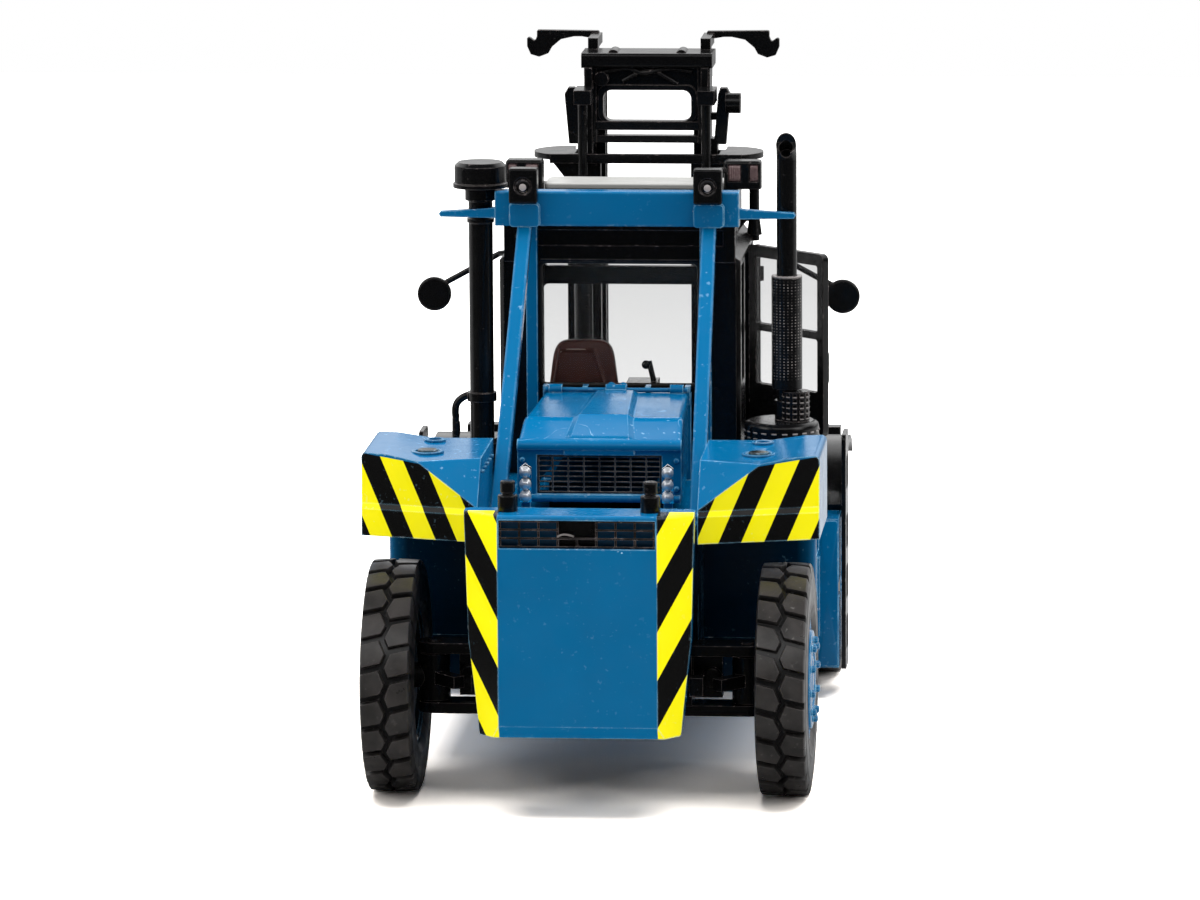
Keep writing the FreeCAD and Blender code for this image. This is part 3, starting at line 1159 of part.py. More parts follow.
def inner_beams():
    """The sliding beams nested in the channels, with the lips that the carriage rollers run between."""
    y, track = T(SLIDE_Y), T(TRACK_Y)
    ahead, rear = track + TRACK / 2, track - TRACK / 2
    guide_out = MAST_W - MAST_T - GAP
    web_out = FLANGE_IN - GAP
    web_in = web_out - 1.0
    low, high = MAST_BOTTOM, HEAD_TOP - 2
    web = box(web_in, web_out, y - 2.4, ahead + 0.8, low, high)
    guide = box(web_out - 0.1, guide_out, y - 1.2, y + 1.4, low, MAST_TOP + 2)
    lips = [box(6.2, web_in + 0.1, a, a + 0.8, low, HEAD_TOP - 6) for a in (ahead, rear - 0.8)]
    foot = box(-web_out, web_out, rear - 0.8, rear, low, low + 1.6)
    return [foot] + both(fuse([web, guide] + lips))


def mast_head():
    """Head of the inner mast: cross bars, the plate with its window, lugs and sheave bosses."""
    y, rear = T(SLIDE_Y), T(TRACK_Y) - TRACK / 2
    top = round_edges(box(-HEAD_W, HEAD_W, y - 2.2, y + 5.0, HEAD_TOP - 2.1, HEAD_TOP), 0.5, along(0))
    plate = box(-8.8, 8.8, y - 1.0, y + 0.6, HEAD_TOP - 10.8, HEAD_TOP - 2.0)
    posts = both(box(7.1, 8.8, y - 1.6, rear - 0.2, HEAD_TOP - 12.6, HEAD_TOP - 2.0))
    bars = [box(-8.8, 8.8, y - 1.7, y + 0.6, HEAD_TOP - 10.8, HEAD_TOP - 9.6),
            box(-8.8, 8.8, y - 1.4, y + 0.4, HEAD_TOP - 12.6, HEAD_TOP - 11.6)]
    z0, z1 = HEAD_TOP - 9.55, HEAD_TOP - 5.2
    window = round_edges(box(-6.15, 6.15, y - 5, y + 12, z0, z1), 1.2, along(1))
    ring = round_edges(box(-6.9, 6.9, y - 1.5, y - 0.9, z0 - 0.2, z1 + 0.7), 1.3, along(1))
    drum = cyl((-6.4, y - 1.9, HEAD_TOP - 3.6), (0, 1, 0), 1.0, 1.2)
    bump = both(cyl((4.77, y - 1.0, HEAD_TOP - 0.45), (0, 1, 0), 0.85, 4.0))
    lug_z = HEAD_TOP - 12.8
    outline = [(9.3, lug_z), (11.0, lug_z), (11.6, lug_z + 7.0), (11.1, lug_z + 7.9),
               (10.2, lug_z + 7.9), (9.9, lug_z + 7.0)]
    lug = front(outline, y - 1.2, y + 0.4)
    tie = box(8.6, 10.6, y - 1.0, y + 0.2, lug_z + 3.4, lug_z + 4.4)
    knob = cyl((11.0, y - 1.6, HEAD_TOP - 6.95), (1, 0, 0), 1.42, 2.1)
    panel = fuse([plate, ring] + posts + bars).cut(window)
    return [panel, top, drum, knob] + bump + both(fuse([lug, tie]))


def hook_arm():
    """One hooked arm ahead of the head, its outline seen from behind."""
    z = HEAD_TOP + HOOK_RISE
    outline = [(16.4, z), (7.6, z - 0.1), (7.6, z - 1.3), (10.0, z - 0.9), (11.15, z - 0.9), (13.0, z - 1.3),
               (14.3, z - 2.4), (14.8, z - 3.3), (16.1, z - 3.8), (17.3, z - 3.45), (17.8, z - 2.3),
               (17.8, z - 0.9), (17.3, z - 1.15), (16.7, z - 1.6), (16.4, z - 0.9)]
    y = T(HOOK_Y)
    plate = front(outline, y - 0.5, y + 0.5)
    plate = round_edges(plate, 0.25, along(1))
    rail = box(7.2, 8.6, T(SLIDE_Y) + 4.0, y + 0.4, z - 1.8, z - 0.4)
    rise = box(7.2, 8.6, T(SLIDE_Y) + 2.6, T(SLIDE_Y) + 4.9, HEAD_TOP - 1.0, z - 0.4)
    return fuse([plate, rail, rise])


def inner_mast():
    """Sliding frame: beams, head and hooked arms in one."""
    return fuse(inner_beams() + mast_head() + both(hook_arm()))


def carriage():
    """Fork carriage: two roller posts, two cross beams and end plates."""
    track = T(TRACK_Y)
    y0 = T(CARRIAGE_Y)
    roll = TRACK / 2 - 0.1
    post = box(3.0, 5.8, track - roll, y0 + 1.6, CARRIAGE_LOW, CARRIAGE_HIGH)
    rollers = [cyl((5.0, track, z), (1, 0, 0), roll, 2.3) for z in (CARRIAGE_LOW + 2.2, CARRIAGE_HIGH - 2.2)]
    parts = both(fuse([post] + rollers))
    for z0, z1 in ((CARRIAGE_LOW, CARRIAGE_LOW + 3.0), (CARRIAGE_HIGH - 3.4, CARRIAGE_HIGH)):
        beam = box(-CARRIAGE_W, CARRIAGE_W, y0, y0 + CARRIAGE_T, z0, z1)
        parts.append(beam)
    for x in (CARRIAGE_W - 1.6, 7.0):
        parts += both(box(x, x + 1.6, y0 + 0.1, y0 + CARRIAGE_T - 0.1, CARRIAGE_LOW, CARRIAGE_HIGH))
    return fuse(parts)


def fork_shank():
    """Frame Y of the fork shank's rear and front face."""
    y0 = T(CARRIAGE_Y) + CARRIAGE_T + HOOK_GAP
    return y0, y0 + SHANK_T


def fork(side_sign):
    """One fork: hook over the upper beam, shank, tapered blade."""
    y0, y1 = fork_shank()
    back = T(CARRIAGE_Y) - HOOK_GAP
    w = FORK_W / 2
    tip = y1 + FORK_LEN
    z0 = 1.0
    heel = z0 + FORK_T + 0.5
    top = CARRIAGE_HIGH + HOOK_GAP
    prof = [(y0, z0 + 0.4), (y0 + 1.2, z0), (tip - 8.0, z0), (tip, z0 + 0.9), (tip, z0 + 1.2),
            (tip - 12.0, heel), (y1 + 1.0, heel), (y1, heel + 1.0), (y1, top + 0.8), (y1 - 0.7, top + 1.5),
            (back - 0.8, top + 1.5), (back - 0.8, top - 1.6), (back, top - 1.6), (back, top), (y0, top)]
    f = side(prof, FORK_X - w, FORK_X + w)
    snip = plan([(FORK_X + w + 1, tip - 7), (FORK_X + w, tip - 7), (FORK_X + 1.4, tip + 0.1),
                 (FORK_X + w + 1, tip + 0.1)], -1, 6)
    return sided(f.cut([snip, snip.mirror(V(FORK_X, 0, 0), V(1, 0, 0))]), side_sign)


def tilt_line(s_from, s_to):
    """Two points along the tilt cylinder's axis, measured from its base pin."""
    a = V(TILT_X, T(BASE_Y), BASE_Z)
    u = V(0, EYE_Y - BASE_Y, EYE_Z - BASE_Z)
    u.normalize()
    return tuple(a + u * s_from), tuple(a + u * s_to)


def tilt_barrel():
    """Barrel with its neck and the eye on the chassis pin."""
    neck = rod(*tilt_line(0.6, 1.6), 0.7)
    eye = cyl((TILT_X - 0.7, T(BASE_Y), BASE_Z), (1, 0, 0), 1.05, 1.4)
    body = rod(*tilt_line(1.45, 6.0), 1.5).fuse([neck, eye])
    pin = cyl((TILT_X - 2, T(BASE_Y), BASE_Z), (1, 0, 0), PIN_R + FIT, 4)
    return body.cut([rod(*tilt_line(1.7, 6.5), TILT_ROD_R + FIT), pin])


def tilt_rod():
    """Rod whose eye sits on the mast's pin with room for the linkage's small drift."""
    body = rod(*tilt_line(4.3, EYE_Y - BASE_Y - 0.6), TILT_ROD_R)
    body = body.fuse(cyl((TILT_X - 0.7, T(EYE_Y), EYE_Z), (1, 0, 0), 1.05, 1.4))
    return body.cut(cyl((TILT_X - 2, T(EYE_Y), EYE_Z), (1, 0, 0), PIN_R + 0.25, 4))


# ---------------------------------------------------------------- parts
def middle_parts():
    """The pieces that exist once."""
    shell = cab_shell()
    inner = inner_mast()
    return {
        "chassis": fuse([chassis(), hood_hinge()]),
        "tail_counterweight": fuse([tail_counterweight()] + tail_lamp_brackets()),
        "tail_grille": tail_grille(),
        "filler_caps": filler_caps().cut([rear_fender(1), rear_fender(-1)]),
        "hood": hood(),
        "hood_grille": hood_grille(),
        "engine_block": engine_block(),
        "tail_lamps": tail_lamps(),
        "deck_knobs": deck_knobs(),
        "guard_frame": guard_beam(),
        "work_lamps": work_lamps(),
        "air_intake_stack": air_intake_stack(),
        "exhaust_stack": exhaust_stack(),
        "exhaust_shield": exhaust_shield(),
        "muffler": muffler(),
        "cab_shell": fuse([shell] + hinge_pins()),
        "cab_glass": cab_glass().cut(shell),
        "roof_panel": roof_panel(),
        "operator_seat": operator_seat(),
        "cab_controls": compound(seat_base().Solids + steering_column().Solids),
        "roof_lamps": roof_lamps(),
        "steer_axle": steer_axle(),
        "steer_rod": steer_rod(),
        "drive_axle": drive_axle(),
        "outer_mast": fuse([outer_mast()] + lift_barrels()),
        "inner_mast": inner,
        "lift_rods": lift_rods().cut(inner),
        "carriage": carriage(),
        "tilt_barrels": compound(both(tilt_barrel())),
        "tilt_rods": compound(both(tilt_rod())),
    }


def paired_parts():
    """The pieces made once for each side."""
    makers = {
        "rear_fender": rear_fender, "side_tank": side_tank, "front_fender": front_fender,
        "guard_strut": guard_strut, "mirror": mirror_arm, "knuckle": knuckle, "rear_tyre": rear_tyre,
        "rear_rim": rear_rim, "front_tyres": front_tyres, "front_rim": front_rim, "fork": fork,
    }
    done = {}
    for name, make in makers.items():
        done["left_" + name] = make(-1)
        done["right_" + name] = make(1)
    return done


def door_parts():
    """Doors and their glass: the left one shut, the right one open."""
    door = door_frame()
    panes = door_panes().cut(door)
    return {"left_door": mirror(door), "left_door_glass": mirror(panes),
            "right_door": opened(door), "right_door_glass": opened(panes)}


def write():
    os.makedirs("parts", exist_ok=True)
    nodes = {}
    for group in (middle_parts(), paired_parts(), door_parts()):
        nodes.update(group)
    for name, shape in sorted(nodes.items()):
        shape.exportStep("parts/" + name + ".step")
        b = shape.BoundBox
        size = (b.XMin, b.XMax, b.YMin, b.YMax, b.ZMin, b.ZMax, shape.Volume)
        print("%-22s solids %d valid %s" % (name, len(shape.Solids), shape.isValid()),
              "x %.1f..%.1f y %.1f..%.1f z %.1f..%.1f vol %.1f" % size)


write()
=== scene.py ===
# %% [markdown]
# # A die-cast heavy forklift, dressed in Blender
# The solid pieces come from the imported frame. This notebook gives them their finishes, and
# adds the small shapes that a solid model leaves out: tyre tread, mesh, rivets, seals.
# The frame is loaded once. A new piece is placed from the boxes of the frame's nodes, or by its
# distance from the tail, so that it stays seated on the solid piece that carries it.

# %% Load the frame
import bmesh
import bpy
import json
import math
import numpy as np
from mathutils import Matrix, Vector


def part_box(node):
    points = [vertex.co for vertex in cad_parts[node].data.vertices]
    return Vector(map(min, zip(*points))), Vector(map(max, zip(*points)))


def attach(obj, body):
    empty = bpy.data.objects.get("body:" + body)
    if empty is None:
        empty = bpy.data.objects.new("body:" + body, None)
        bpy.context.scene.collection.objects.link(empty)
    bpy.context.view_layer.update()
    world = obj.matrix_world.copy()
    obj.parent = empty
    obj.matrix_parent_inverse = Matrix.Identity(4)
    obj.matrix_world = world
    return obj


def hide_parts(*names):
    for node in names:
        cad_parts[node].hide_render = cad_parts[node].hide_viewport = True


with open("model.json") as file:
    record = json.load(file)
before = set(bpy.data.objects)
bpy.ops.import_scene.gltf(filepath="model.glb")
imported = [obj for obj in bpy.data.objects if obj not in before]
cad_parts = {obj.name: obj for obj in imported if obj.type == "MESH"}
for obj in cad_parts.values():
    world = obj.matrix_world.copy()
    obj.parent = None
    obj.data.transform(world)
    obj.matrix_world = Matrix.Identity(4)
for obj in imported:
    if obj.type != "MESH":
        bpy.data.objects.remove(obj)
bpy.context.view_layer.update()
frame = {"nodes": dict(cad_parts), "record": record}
scene = bpy.context.scene
MM = 0.001
nodes = frame["nodes"]
slot_of = {p["node"]: p["material_slot"] for p in frame["record"]["subparts"]}

# %% [markdown]
# ## Where things are
# The machine's own distances are counted forward from the flat tail plate, as a maker
# would measure it. One helper turns them into the frame's Y. The others give the edges of a
# node's box, in millimetres. A name that ends in IN is a distance from the tail, and one
# that ends in X is a place across the machine, both in millimetres.

# %% Reference places
GRILLE_SUNK = 0.4
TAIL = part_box("tail_grille")[0].y - GRILLE_SUNK * MM
REAR_AXLE = sum(v.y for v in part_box("left_rear_tyre")) / 2
FRONT_AXLE = sum(v.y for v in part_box("left_front_tyres")) / 2
CAB_REAR_IN = 66.4
STACK_IN = 65.0
EXHAUST_X = 22.5
INTAKE_X = -18.5


def from_tail(mm):
    """Distance ahead of the tail plate, in millimetres, to the frame's Y in metres."""
    return TAIL + mm * MM


def low(node, axis):
    """Lowest coordinate of a node's box on one axis, in millimetres."""
    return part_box(node)[0][axis] / MM


def high(node, axis):
    """Highest coordinate of a node's box on one axis, in millimetres."""
    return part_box(node)[1][axis] / MM


print("tail", round(TAIL, 4), "axles", round(REAR_AXLE, 4), round(FRONT_AXLE, 4))

# %% [markdown]
# ## Camera
# Seen from a metre away through a long lens, a model looks almost without perspective. The
# camera stands behind the tail, a few degrees to the machine's right and a little above.
# Its matrix is worked out from those angles, so that each can be changed by itself.

# %% Camera
CAMERA_DISTANCE = 1.015
CAMERA_AZIMUTH = math.radians(5.0)
CAMERA_ELEVATION = math.radians(9.5)
CAMERA_ROLL = math.radians(-0.35)
LENS_MM = 228.0
AIM = Vector((-0.002226, TAIL + 0.060, 0.037808))


def camera_matrix(aim, distance, azimuth, elevation, roll):
    """Columns are right, up and backward; the camera stands `distance` along backward from aim."""
    back = Vector((math.sin(azimuth) * math.cos(elevation), -math.cos(azimuth) * math.cos(elevation),
                   math.sin(elevation)))
    right = (-back).cross(Vector((0, 0, 1))).normalized()
    up = right.cross(-back)
    turned = right * math.cos(roll) + up * math.sin(roll)
    upright = up * math.cos(roll) - right * math.sin(roll)
    m = Matrix((turned, upright, back)).transposed().to_4x4()
    m.translation = aim + back * distance
    return m


camera_data = bpy.data.cameras.new("camera")
camera_data.lens = LENS_MM
camera_data.sensor_width = 36.0
camera_data.clip_start = 0.05
camera_data.clip_end = 20.0
camera = bpy.data.objects.new("camera", camera_data)
scene.collection.objects.link(camera)
camera.matrix_world = camera_matrix(AIM, CAMERA_DISTANCE, CAMERA_AZIMUTH, CAMERA_ELEVATION, CAMERA_ROLL)
scene.camera = camera
print("camera at", [round(c, 3) for c in camera.location])

# %% [markdown]
# ## Building shaders in code
# A node tree is a small program. Drawn by hand in the shader editor it is hard to read and
# to change. These helpers add a node, or a whole sum, in one line, so that the finishes
# further down read like the formulas they are.

# %% Materials and nodes
def new_material(name):
    """A material with an empty node tree and its output; returns (material, nodes, link function)."""
    m = bpy.data.materials.new(name)
    m.use_nodes = True
    tree = m.node_tree
    tree.nodes.clear()
    tree.nodes.new("ShaderNodeOutputMaterial")
    return m, tree.nodes, tree.links.new


def add(tree_nodes, kind, **values):
    """Adds a node and sets attributes, or input sockets where the key is a socket's name."""
    n = tree_nodes.new("ShaderNode" + kind)
    for key, value in values.items():
        if hasattr(n, key):
            setattr(n, key, value)
        else:
            n.inputs[key.replace("_", " ")].default_value = value
    return n


def feed(link, socket, value):
    """Connects a socket, or writes a plain number or colour on it."""
    if isinstance(value, (int, float)):
        socket.default_value = value
    elif isinstance(value, tuple):
        socket.default_value = (*value, 1) if len(value) == 3 else value
    else:
        link(value, socket)


print("node helpers ready")


# %% Sums, masks and mixes
def calc(n, link, operation, a, b=0.0, c=0.0):
    """One Math node on sockets or plain numbers; returns its output."""
    node = add(n, "Math", operation=operation)
    for socket, value in zip(node.inputs, (a, b, c)):
        feed(link, socket, value)
    return node.outputs[0]


def remap(n, link, value, low_in, high_in, low_out=0.0, high_out=1.0):
    """Map Range, clamped: turns a slice of a value into a mask or an amount."""
    node = add(n, "MapRange")
    for label, v in (("Value", value), ("From Min", low_in), ("From Max", high_in), ("To Min", low_out),
                     ("To Max", high_out)):
        feed(link, node.inputs[label], v)
    return node.outputs[0]


def colour_mix(n, link, factor, a, b, blend="MIX"):
    """Mixes two colours, each a socket or a plain RGB; factor is a socket or a number."""
    mix = add(n, "Mix", data_type="RGBA", blend_type=blend)
    for socket, value in ((mix.inputs[0], factor), (mix.inputs[6], a), (mix.inputs[7], b)):
        feed(link, socket, value)
    return mix.outputs[2]


print("sums ready")


# %% Values on the piece itself
def object_axes(n, link):
    """X, Y and Z of the object's own coordinates, in metres."""
    split = add(n, "SeparateXYZ")
    link(add(n, "TexCoord").outputs["Object"], split.inputs[0])
    return split.outputs[0], split.outputs[1], split.outputs[2]


def object_noise(n, link, scale, detail=2.0, roughness=0.5):
    """Noise laid in the object's own space."""
    noise = add(n, "TexNoise", Scale=scale, Detail=detail, Roughness=roughness)
    link(add(n, "TexCoord").outputs["Object"], noise.inputs["Vector"])
    return noise.outputs["Fac"]


print("object coordinates and noise ready")

# %% [markdown]
# ## Floor
# The model stands on a white sweep. Stronger lamps would make a plain sheet white, but they
# would bleach the paint too. So the sheet's colour goes by the kind of ray: brighter than
# white to the camera, plain where it lights the model, and dim in what the gloss shows.
# The floor keeps its soft shadow that way, and the light on the model stays plain.

# %% Floor sizes and whites
FLOOR_HALF = 0.72
SWEEP_PLAIN = (0.78, 0.775, 0.77)
SWEEP_WHITE = (1.46, 1.45, 1.44)
# Near the machine the sweep is warmer to the camera: a painted tint that cancels the blue light bounced
# onto it from the paint.
SWEEP_WARM = (1.62, 1.52, 1.42)
WARM_IN = 30
WARM_FROM = 0.03
WARM_TO = 0.16
GLOSS_FULL_IN = 50
GLOSS_BEHIND = 0.02
GLOSS_AHEAD = 0.4
print("floor", 2 * FLOOR_HALF, "m wide, in gloss", GLOSS_BEHIND, "behind and", GLOSS_AHEAD, "ahead")


# %% Floor
def make_floor():
    """A wide sheet on Z = 0: plain for light, brighter for the camera, dim in reflections from behind."""
    mesh = bpy.data.meshes.new("studio_floor")
    h = FLOOR_HALF
    corners = [(-h, -h, 0), (h, -h, 0), (h, h, 0), (-h, h, 0)]
    mesh.from_pydata(corners, [], [(0, 1, 2, 3)])
    floor = bpy.data.objects.new("studio_floor", mesh)
    scene.collection.objects.link(floor)
    m, n, link = new_material("studio_floor")
    path = add(n, "LightPath")
    behind = remap(n, link, object_axes(n, link)[1], TAIL, from_tail(GLOSS_FULL_IN), GLOSS_BEHIND,
                   GLOSS_AHEAD)
    camera_ray, glass_ray = path.outputs["Is Camera Ray"], path.outputs["Is Transmission Ray"]
    seen_ray = calc(n, link, "MAXIMUM", camera_ray, glass_ray)
    away = add(n, "VectorMath", operation="DISTANCE")
    link(add(n, "TexCoord").outputs["Object"], away.inputs[0])
    away.inputs[1].default_value = (0, from_tail(WARM_IN), 0)
    near = remap(n, link, away.outputs["Value"], WARM_FROM, WARM_TO, 1.0, 0.0)
    white = colour_mix(n, link, near, SWEEP_WHITE, SWEEP_WARM)
    plain = colour_mix(n, link, seen_ray, SWEEP_PLAIN, white)
    seen = add(n, "CombineColor")
    for socket in seen.inputs[:3]:
        link(behind, socket)
    colour = colour_mix(n, link, path.outputs["Is Glossy Ray"], plain, seen.outputs[0])
    diffuse = add(n, "BsdfDiffuse")
    link(colour, diffuse.inputs["Color"])
    link(diffuse.outputs[0], n["Material Output"].inputs["Surface"])
    mesh.materials.append(m)


make_floor()
print("floor laid")

# %% [markdown]
# ## Room and lamps
# Large soft lamps give gloss its long calm highlights. The room behind the camera is dark,
# as a studio's is, so upright faces keep their full colour. A broad lamp that shows in the
# gloss lays a veil on the paint, so the one overhead is hidden from reflections, and there
# the room is black apart from a band overhead and a window ahead.

# %% Room
def make_world(fill_strength, gloss_strength):
    """White to the camera and through glass, light ahead and above, a band and a window to gloss."""
    world = bpy.data.worlds.new("studio")
    scene.world = world
    world.use_nodes = True
    n = world.node_tree.nodes
    link = world.node_tree.links.new
    n.clear()
    path = add(n, "LightPath")
    out = add(n, "OutputWorld")
    split = add(n, "SeparateXYZ")
    link(add(n, "TexCoord").outputs["Generated"], split.inputs[0])
    ahead = remap(n, link, split.outputs[1], 0.10, 0.75, 0.015, 1.0)
    above = remap(n, link, split.outputs[2], 0.10, 0.75, 0.0, fill_strength)
    room = calc(n, link, "MAXIMUM", ahead, above)
    seen = calc(n, link, "MAXIMUM", path.outputs["Is Camera Ray"], path.outputs["Is Transmission Ray"])
    band_low = remap(n, link, split.outputs[2], 0.48, 0.56)
    band_high = remap(n, link, split.outputs[2], 0.74, 0.82, 1.0, 0.0)
    band = calc(n, link, "MULTIPLY", band_low, band_high)
    window_ahead = remap(n, link, split.outputs[1], 0.45, 0.60)
    window_up = remap(n, link, split.outputs[2], 0.05, 0.30, 0.25, 1.0)
    window = calc(n, link, "MULTIPLY", window_ahead, window_up)
    boxes = calc(n, link, "MULTIPLY", calc(n, link, "MAXIMUM", band, window), gloss_strength)
    glossy = path.outputs["Is Glossy Ray"]
    plain = calc(n, link, "MULTIPLY", room, calc(n, link, "SUBTRACT", 1.0, glossy))
    room = calc(n, link, "MAXIMUM", plain, calc(n, link, "MULTIPLY", boxes, glossy))
    strength = calc(n, link, "MAXIMUM", room, seen)
    light = add(n, "Background", Color=(1, 1, 1, 1))
    link(strength, light.inputs["Strength"])
    link(light.outputs[0], out.inputs["Surface"])


make_world(fill_strength=0.55, gloss_strength=1.6)
print("room lit")


# %% Lamps
def soft_lamp(name, place, aim, width, height, power, mirrored=True):
    """An area lamp at `place` turned to face `aim`; `mirrored` says whether gloss shows it."""
    data = bpy.data.lights.new(name, "AREA")
    data.shape = "RECTANGLE"
    data.size = width
    data.size_y = height
    data.energy = power
    lamp = bpy.data.objects.new(name, data)
    scene.collection.objects.link(lamp)
    lamp.location = place
    lamp.rotation_euler = (Vector(aim) - Vector(place)).to_track_quat("-Z", "Y").to_euler()
    lamp.visible_glossy = mirrored


soft_lamp("key_overhead", (0.0, -0.03, 0.75), (0, -0.02, 0.03), width=0.9, height=0.6, power=13.5,
          mirrored=False)
soft_lamp("left_box", (-0.65, -0.45, 0.35), (0, -0.03, 0.04), width=0.4, height=0.5, power=1.5)
soft_lamp("right_box", (0.60, -0.35, 0.40), (0, -0.03, 0.04), width=0.35, height=0.5, power=1.3)
scene.view_settings.view_transform = "Standard"
print("lamps", len(bpy.data.lights))

# %% [markdown]
# ## Wear that all finishes share
# Paint on a small casting is thick: it rounds the edges, carries a faint orange peel, and
# shows dust specks, hairlines and tiny chips where it was handled. Each effect could be built
# again in every material. Here each is one shader group, placed in every paint with its own
# amounts, so that a better speck or a softer edge is made once for the whole model.

# %% Making a group
def shader_group(name, inputs, outputs):
    """An empty group with named numbers in and named sockets out; returns (group, in node, out node)."""
    g = bpy.data.node_groups.new(name, "ShaderNodeTree")
    for label, value in inputs:
        sock = g.interface.new_socket(name=label, in_out="INPUT", socket_type="NodeSocketFloat")
        sock.default_value = value
    for label, kind in outputs:
        g.interface.new_socket(name=label, in_out="OUTPUT", socket_type="NodeSocket" + kind)
    return g, g.nodes.new("NodeGroupInput"), g.nodes.new("NodeGroupOutput")


def scaled_noise(g, gin, times, detail):
    """Object noise whose scale is the group's Scale times a number."""
    noise = add(g.nodes, "TexNoise", Detail=detail)
    g.links.new(add(g.nodes, "TexCoord").outputs["Object"], noise.inputs["Vector"])
    scale = calc(g.nodes, g.links.new, "MULTIPLY", gin.outputs["Scale"], times)
    g.links.new(scale, noise.inputs["Scale"])
    return noise.outputs["Fac"]


print("group helpers ready")


# %% Specks and grain
def make_speckle_group():
    """Specks: fine noise above a threshold, thinned by a broad noise."""
    g, gin, gout = shader_group("fine_specks", [("Scale", 900.0), ("Amount", 0.3)], [("Mask", "Float")])
    link = g.links.new
    specks = remap(g.nodes, link, scaled_noise(g, gin, 1.0, 2.0), 0.66, 0.72)
    thin = remap(g.nodes, link, scaled_noise(g, gin, 0.05, 2.0), 0.42, 0.62)
    both = calc(g.nodes, link, "MULTIPLY", specks, thin)
    link(calc(g.nodes, link, "MULTIPLY", both, gin.outputs["Amount"]), gout.inputs["Mask"])
    return g


def make_grain_group():
    """Surface unevenness: a broad and a fine noise added as a height."""
    g, gin, gout = shader_group("cast_grain", [("Scale", 500.0), ("Fine", 0.4)], [("Height", "Float")])
    link = g.links.new
    fine = calc(g.nodes, link, "MULTIPLY", scaled_noise(g, gin, 7.0, 1.0), gin.outputs["Fine"])
    link(calc(g.nodes, link, "ADD", scaled_noise(g, gin, 1.0, 3.0), fine), gout.inputs["Height"])
    return g


SPECKS = make_speckle_group()
GRAIN = make_grain_group()
print("shader groups", SPECKS.name, GRAIN.name)


# %% Edges and hairlines
def make_edge_group():
    """Thick paint on an edge: a softened normal, and a mask that is 1 where the normal turned most."""
    outputs = [("Normal", "Vector"), ("Mask", "Float")]
    g, gin, gout = shader_group("soft_edge", [("Radius", 0.00016)], outputs)
    link = g.links.new
    bevel = add(g.nodes, "Bevel", samples=4)
    true = add(g.nodes, "NewGeometry")
    dot = add(g.nodes, "VectorMath", operation="DOT_PRODUCT")
    link(gin.outputs["Radius"], bevel.inputs["Radius"])
    link(bevel.outputs[0], dot.inputs[0])
    link(true.outputs["Normal"], dot.inputs[1])
    link(bevel.outputs[0], gout.inputs["Normal"])
    link(remap(g.nodes, link, dot.outputs["Value"], 0.995, 0.80), gout.inputs["Mask"])
    return g


def make_scratch_group():
    """Hairlines: where a warped noise crosses its middle value, thinned by a broad noise."""
    inputs = [("Scale", 120.0), ("Width", 0.004)]
    g, gin, gout = shader_group("hairline_scratches", inputs, [("Mask", "Float")])
    link = g.links.new
    level = scaled_noise(g, gin, 1.0, 1.5)
    off = calc(g.nodes, link, "ABSOLUTE", calc(g.nodes, link, "SUBTRACT", level, 0.5))
    line = calc(g.nodes, link, "LESS_THAN", off, gin.outputs["Width"])
    thin = remap(g.nodes, link, scaled_noise(g, gin, 2.7, 2.0), 0.52, 0.62)
    link(calc(g.nodes, link, "MULTIPLY", line, thin), gout.inputs["Mask"])
    return g


EDGE = make_edge_group()
SCRATCHES = make_scratch_group()
print("shader groups", EDGE.name, SCRATCHES.name)


# %% Placing a group
def place_group(tree_nodes, group, **values):
    """Puts a shared group in a material and sets its inputs."""
    n = tree_nodes.new("ShaderNodeGroup")
    n.node_tree = group
    for key, value in values.items():
        n.inputs[key].default_value = value
    return n


print("edges of", EDGE.name, "give", [s.name for s in EDGE.interface.items_tree if s.in_out == "OUTPUT"])
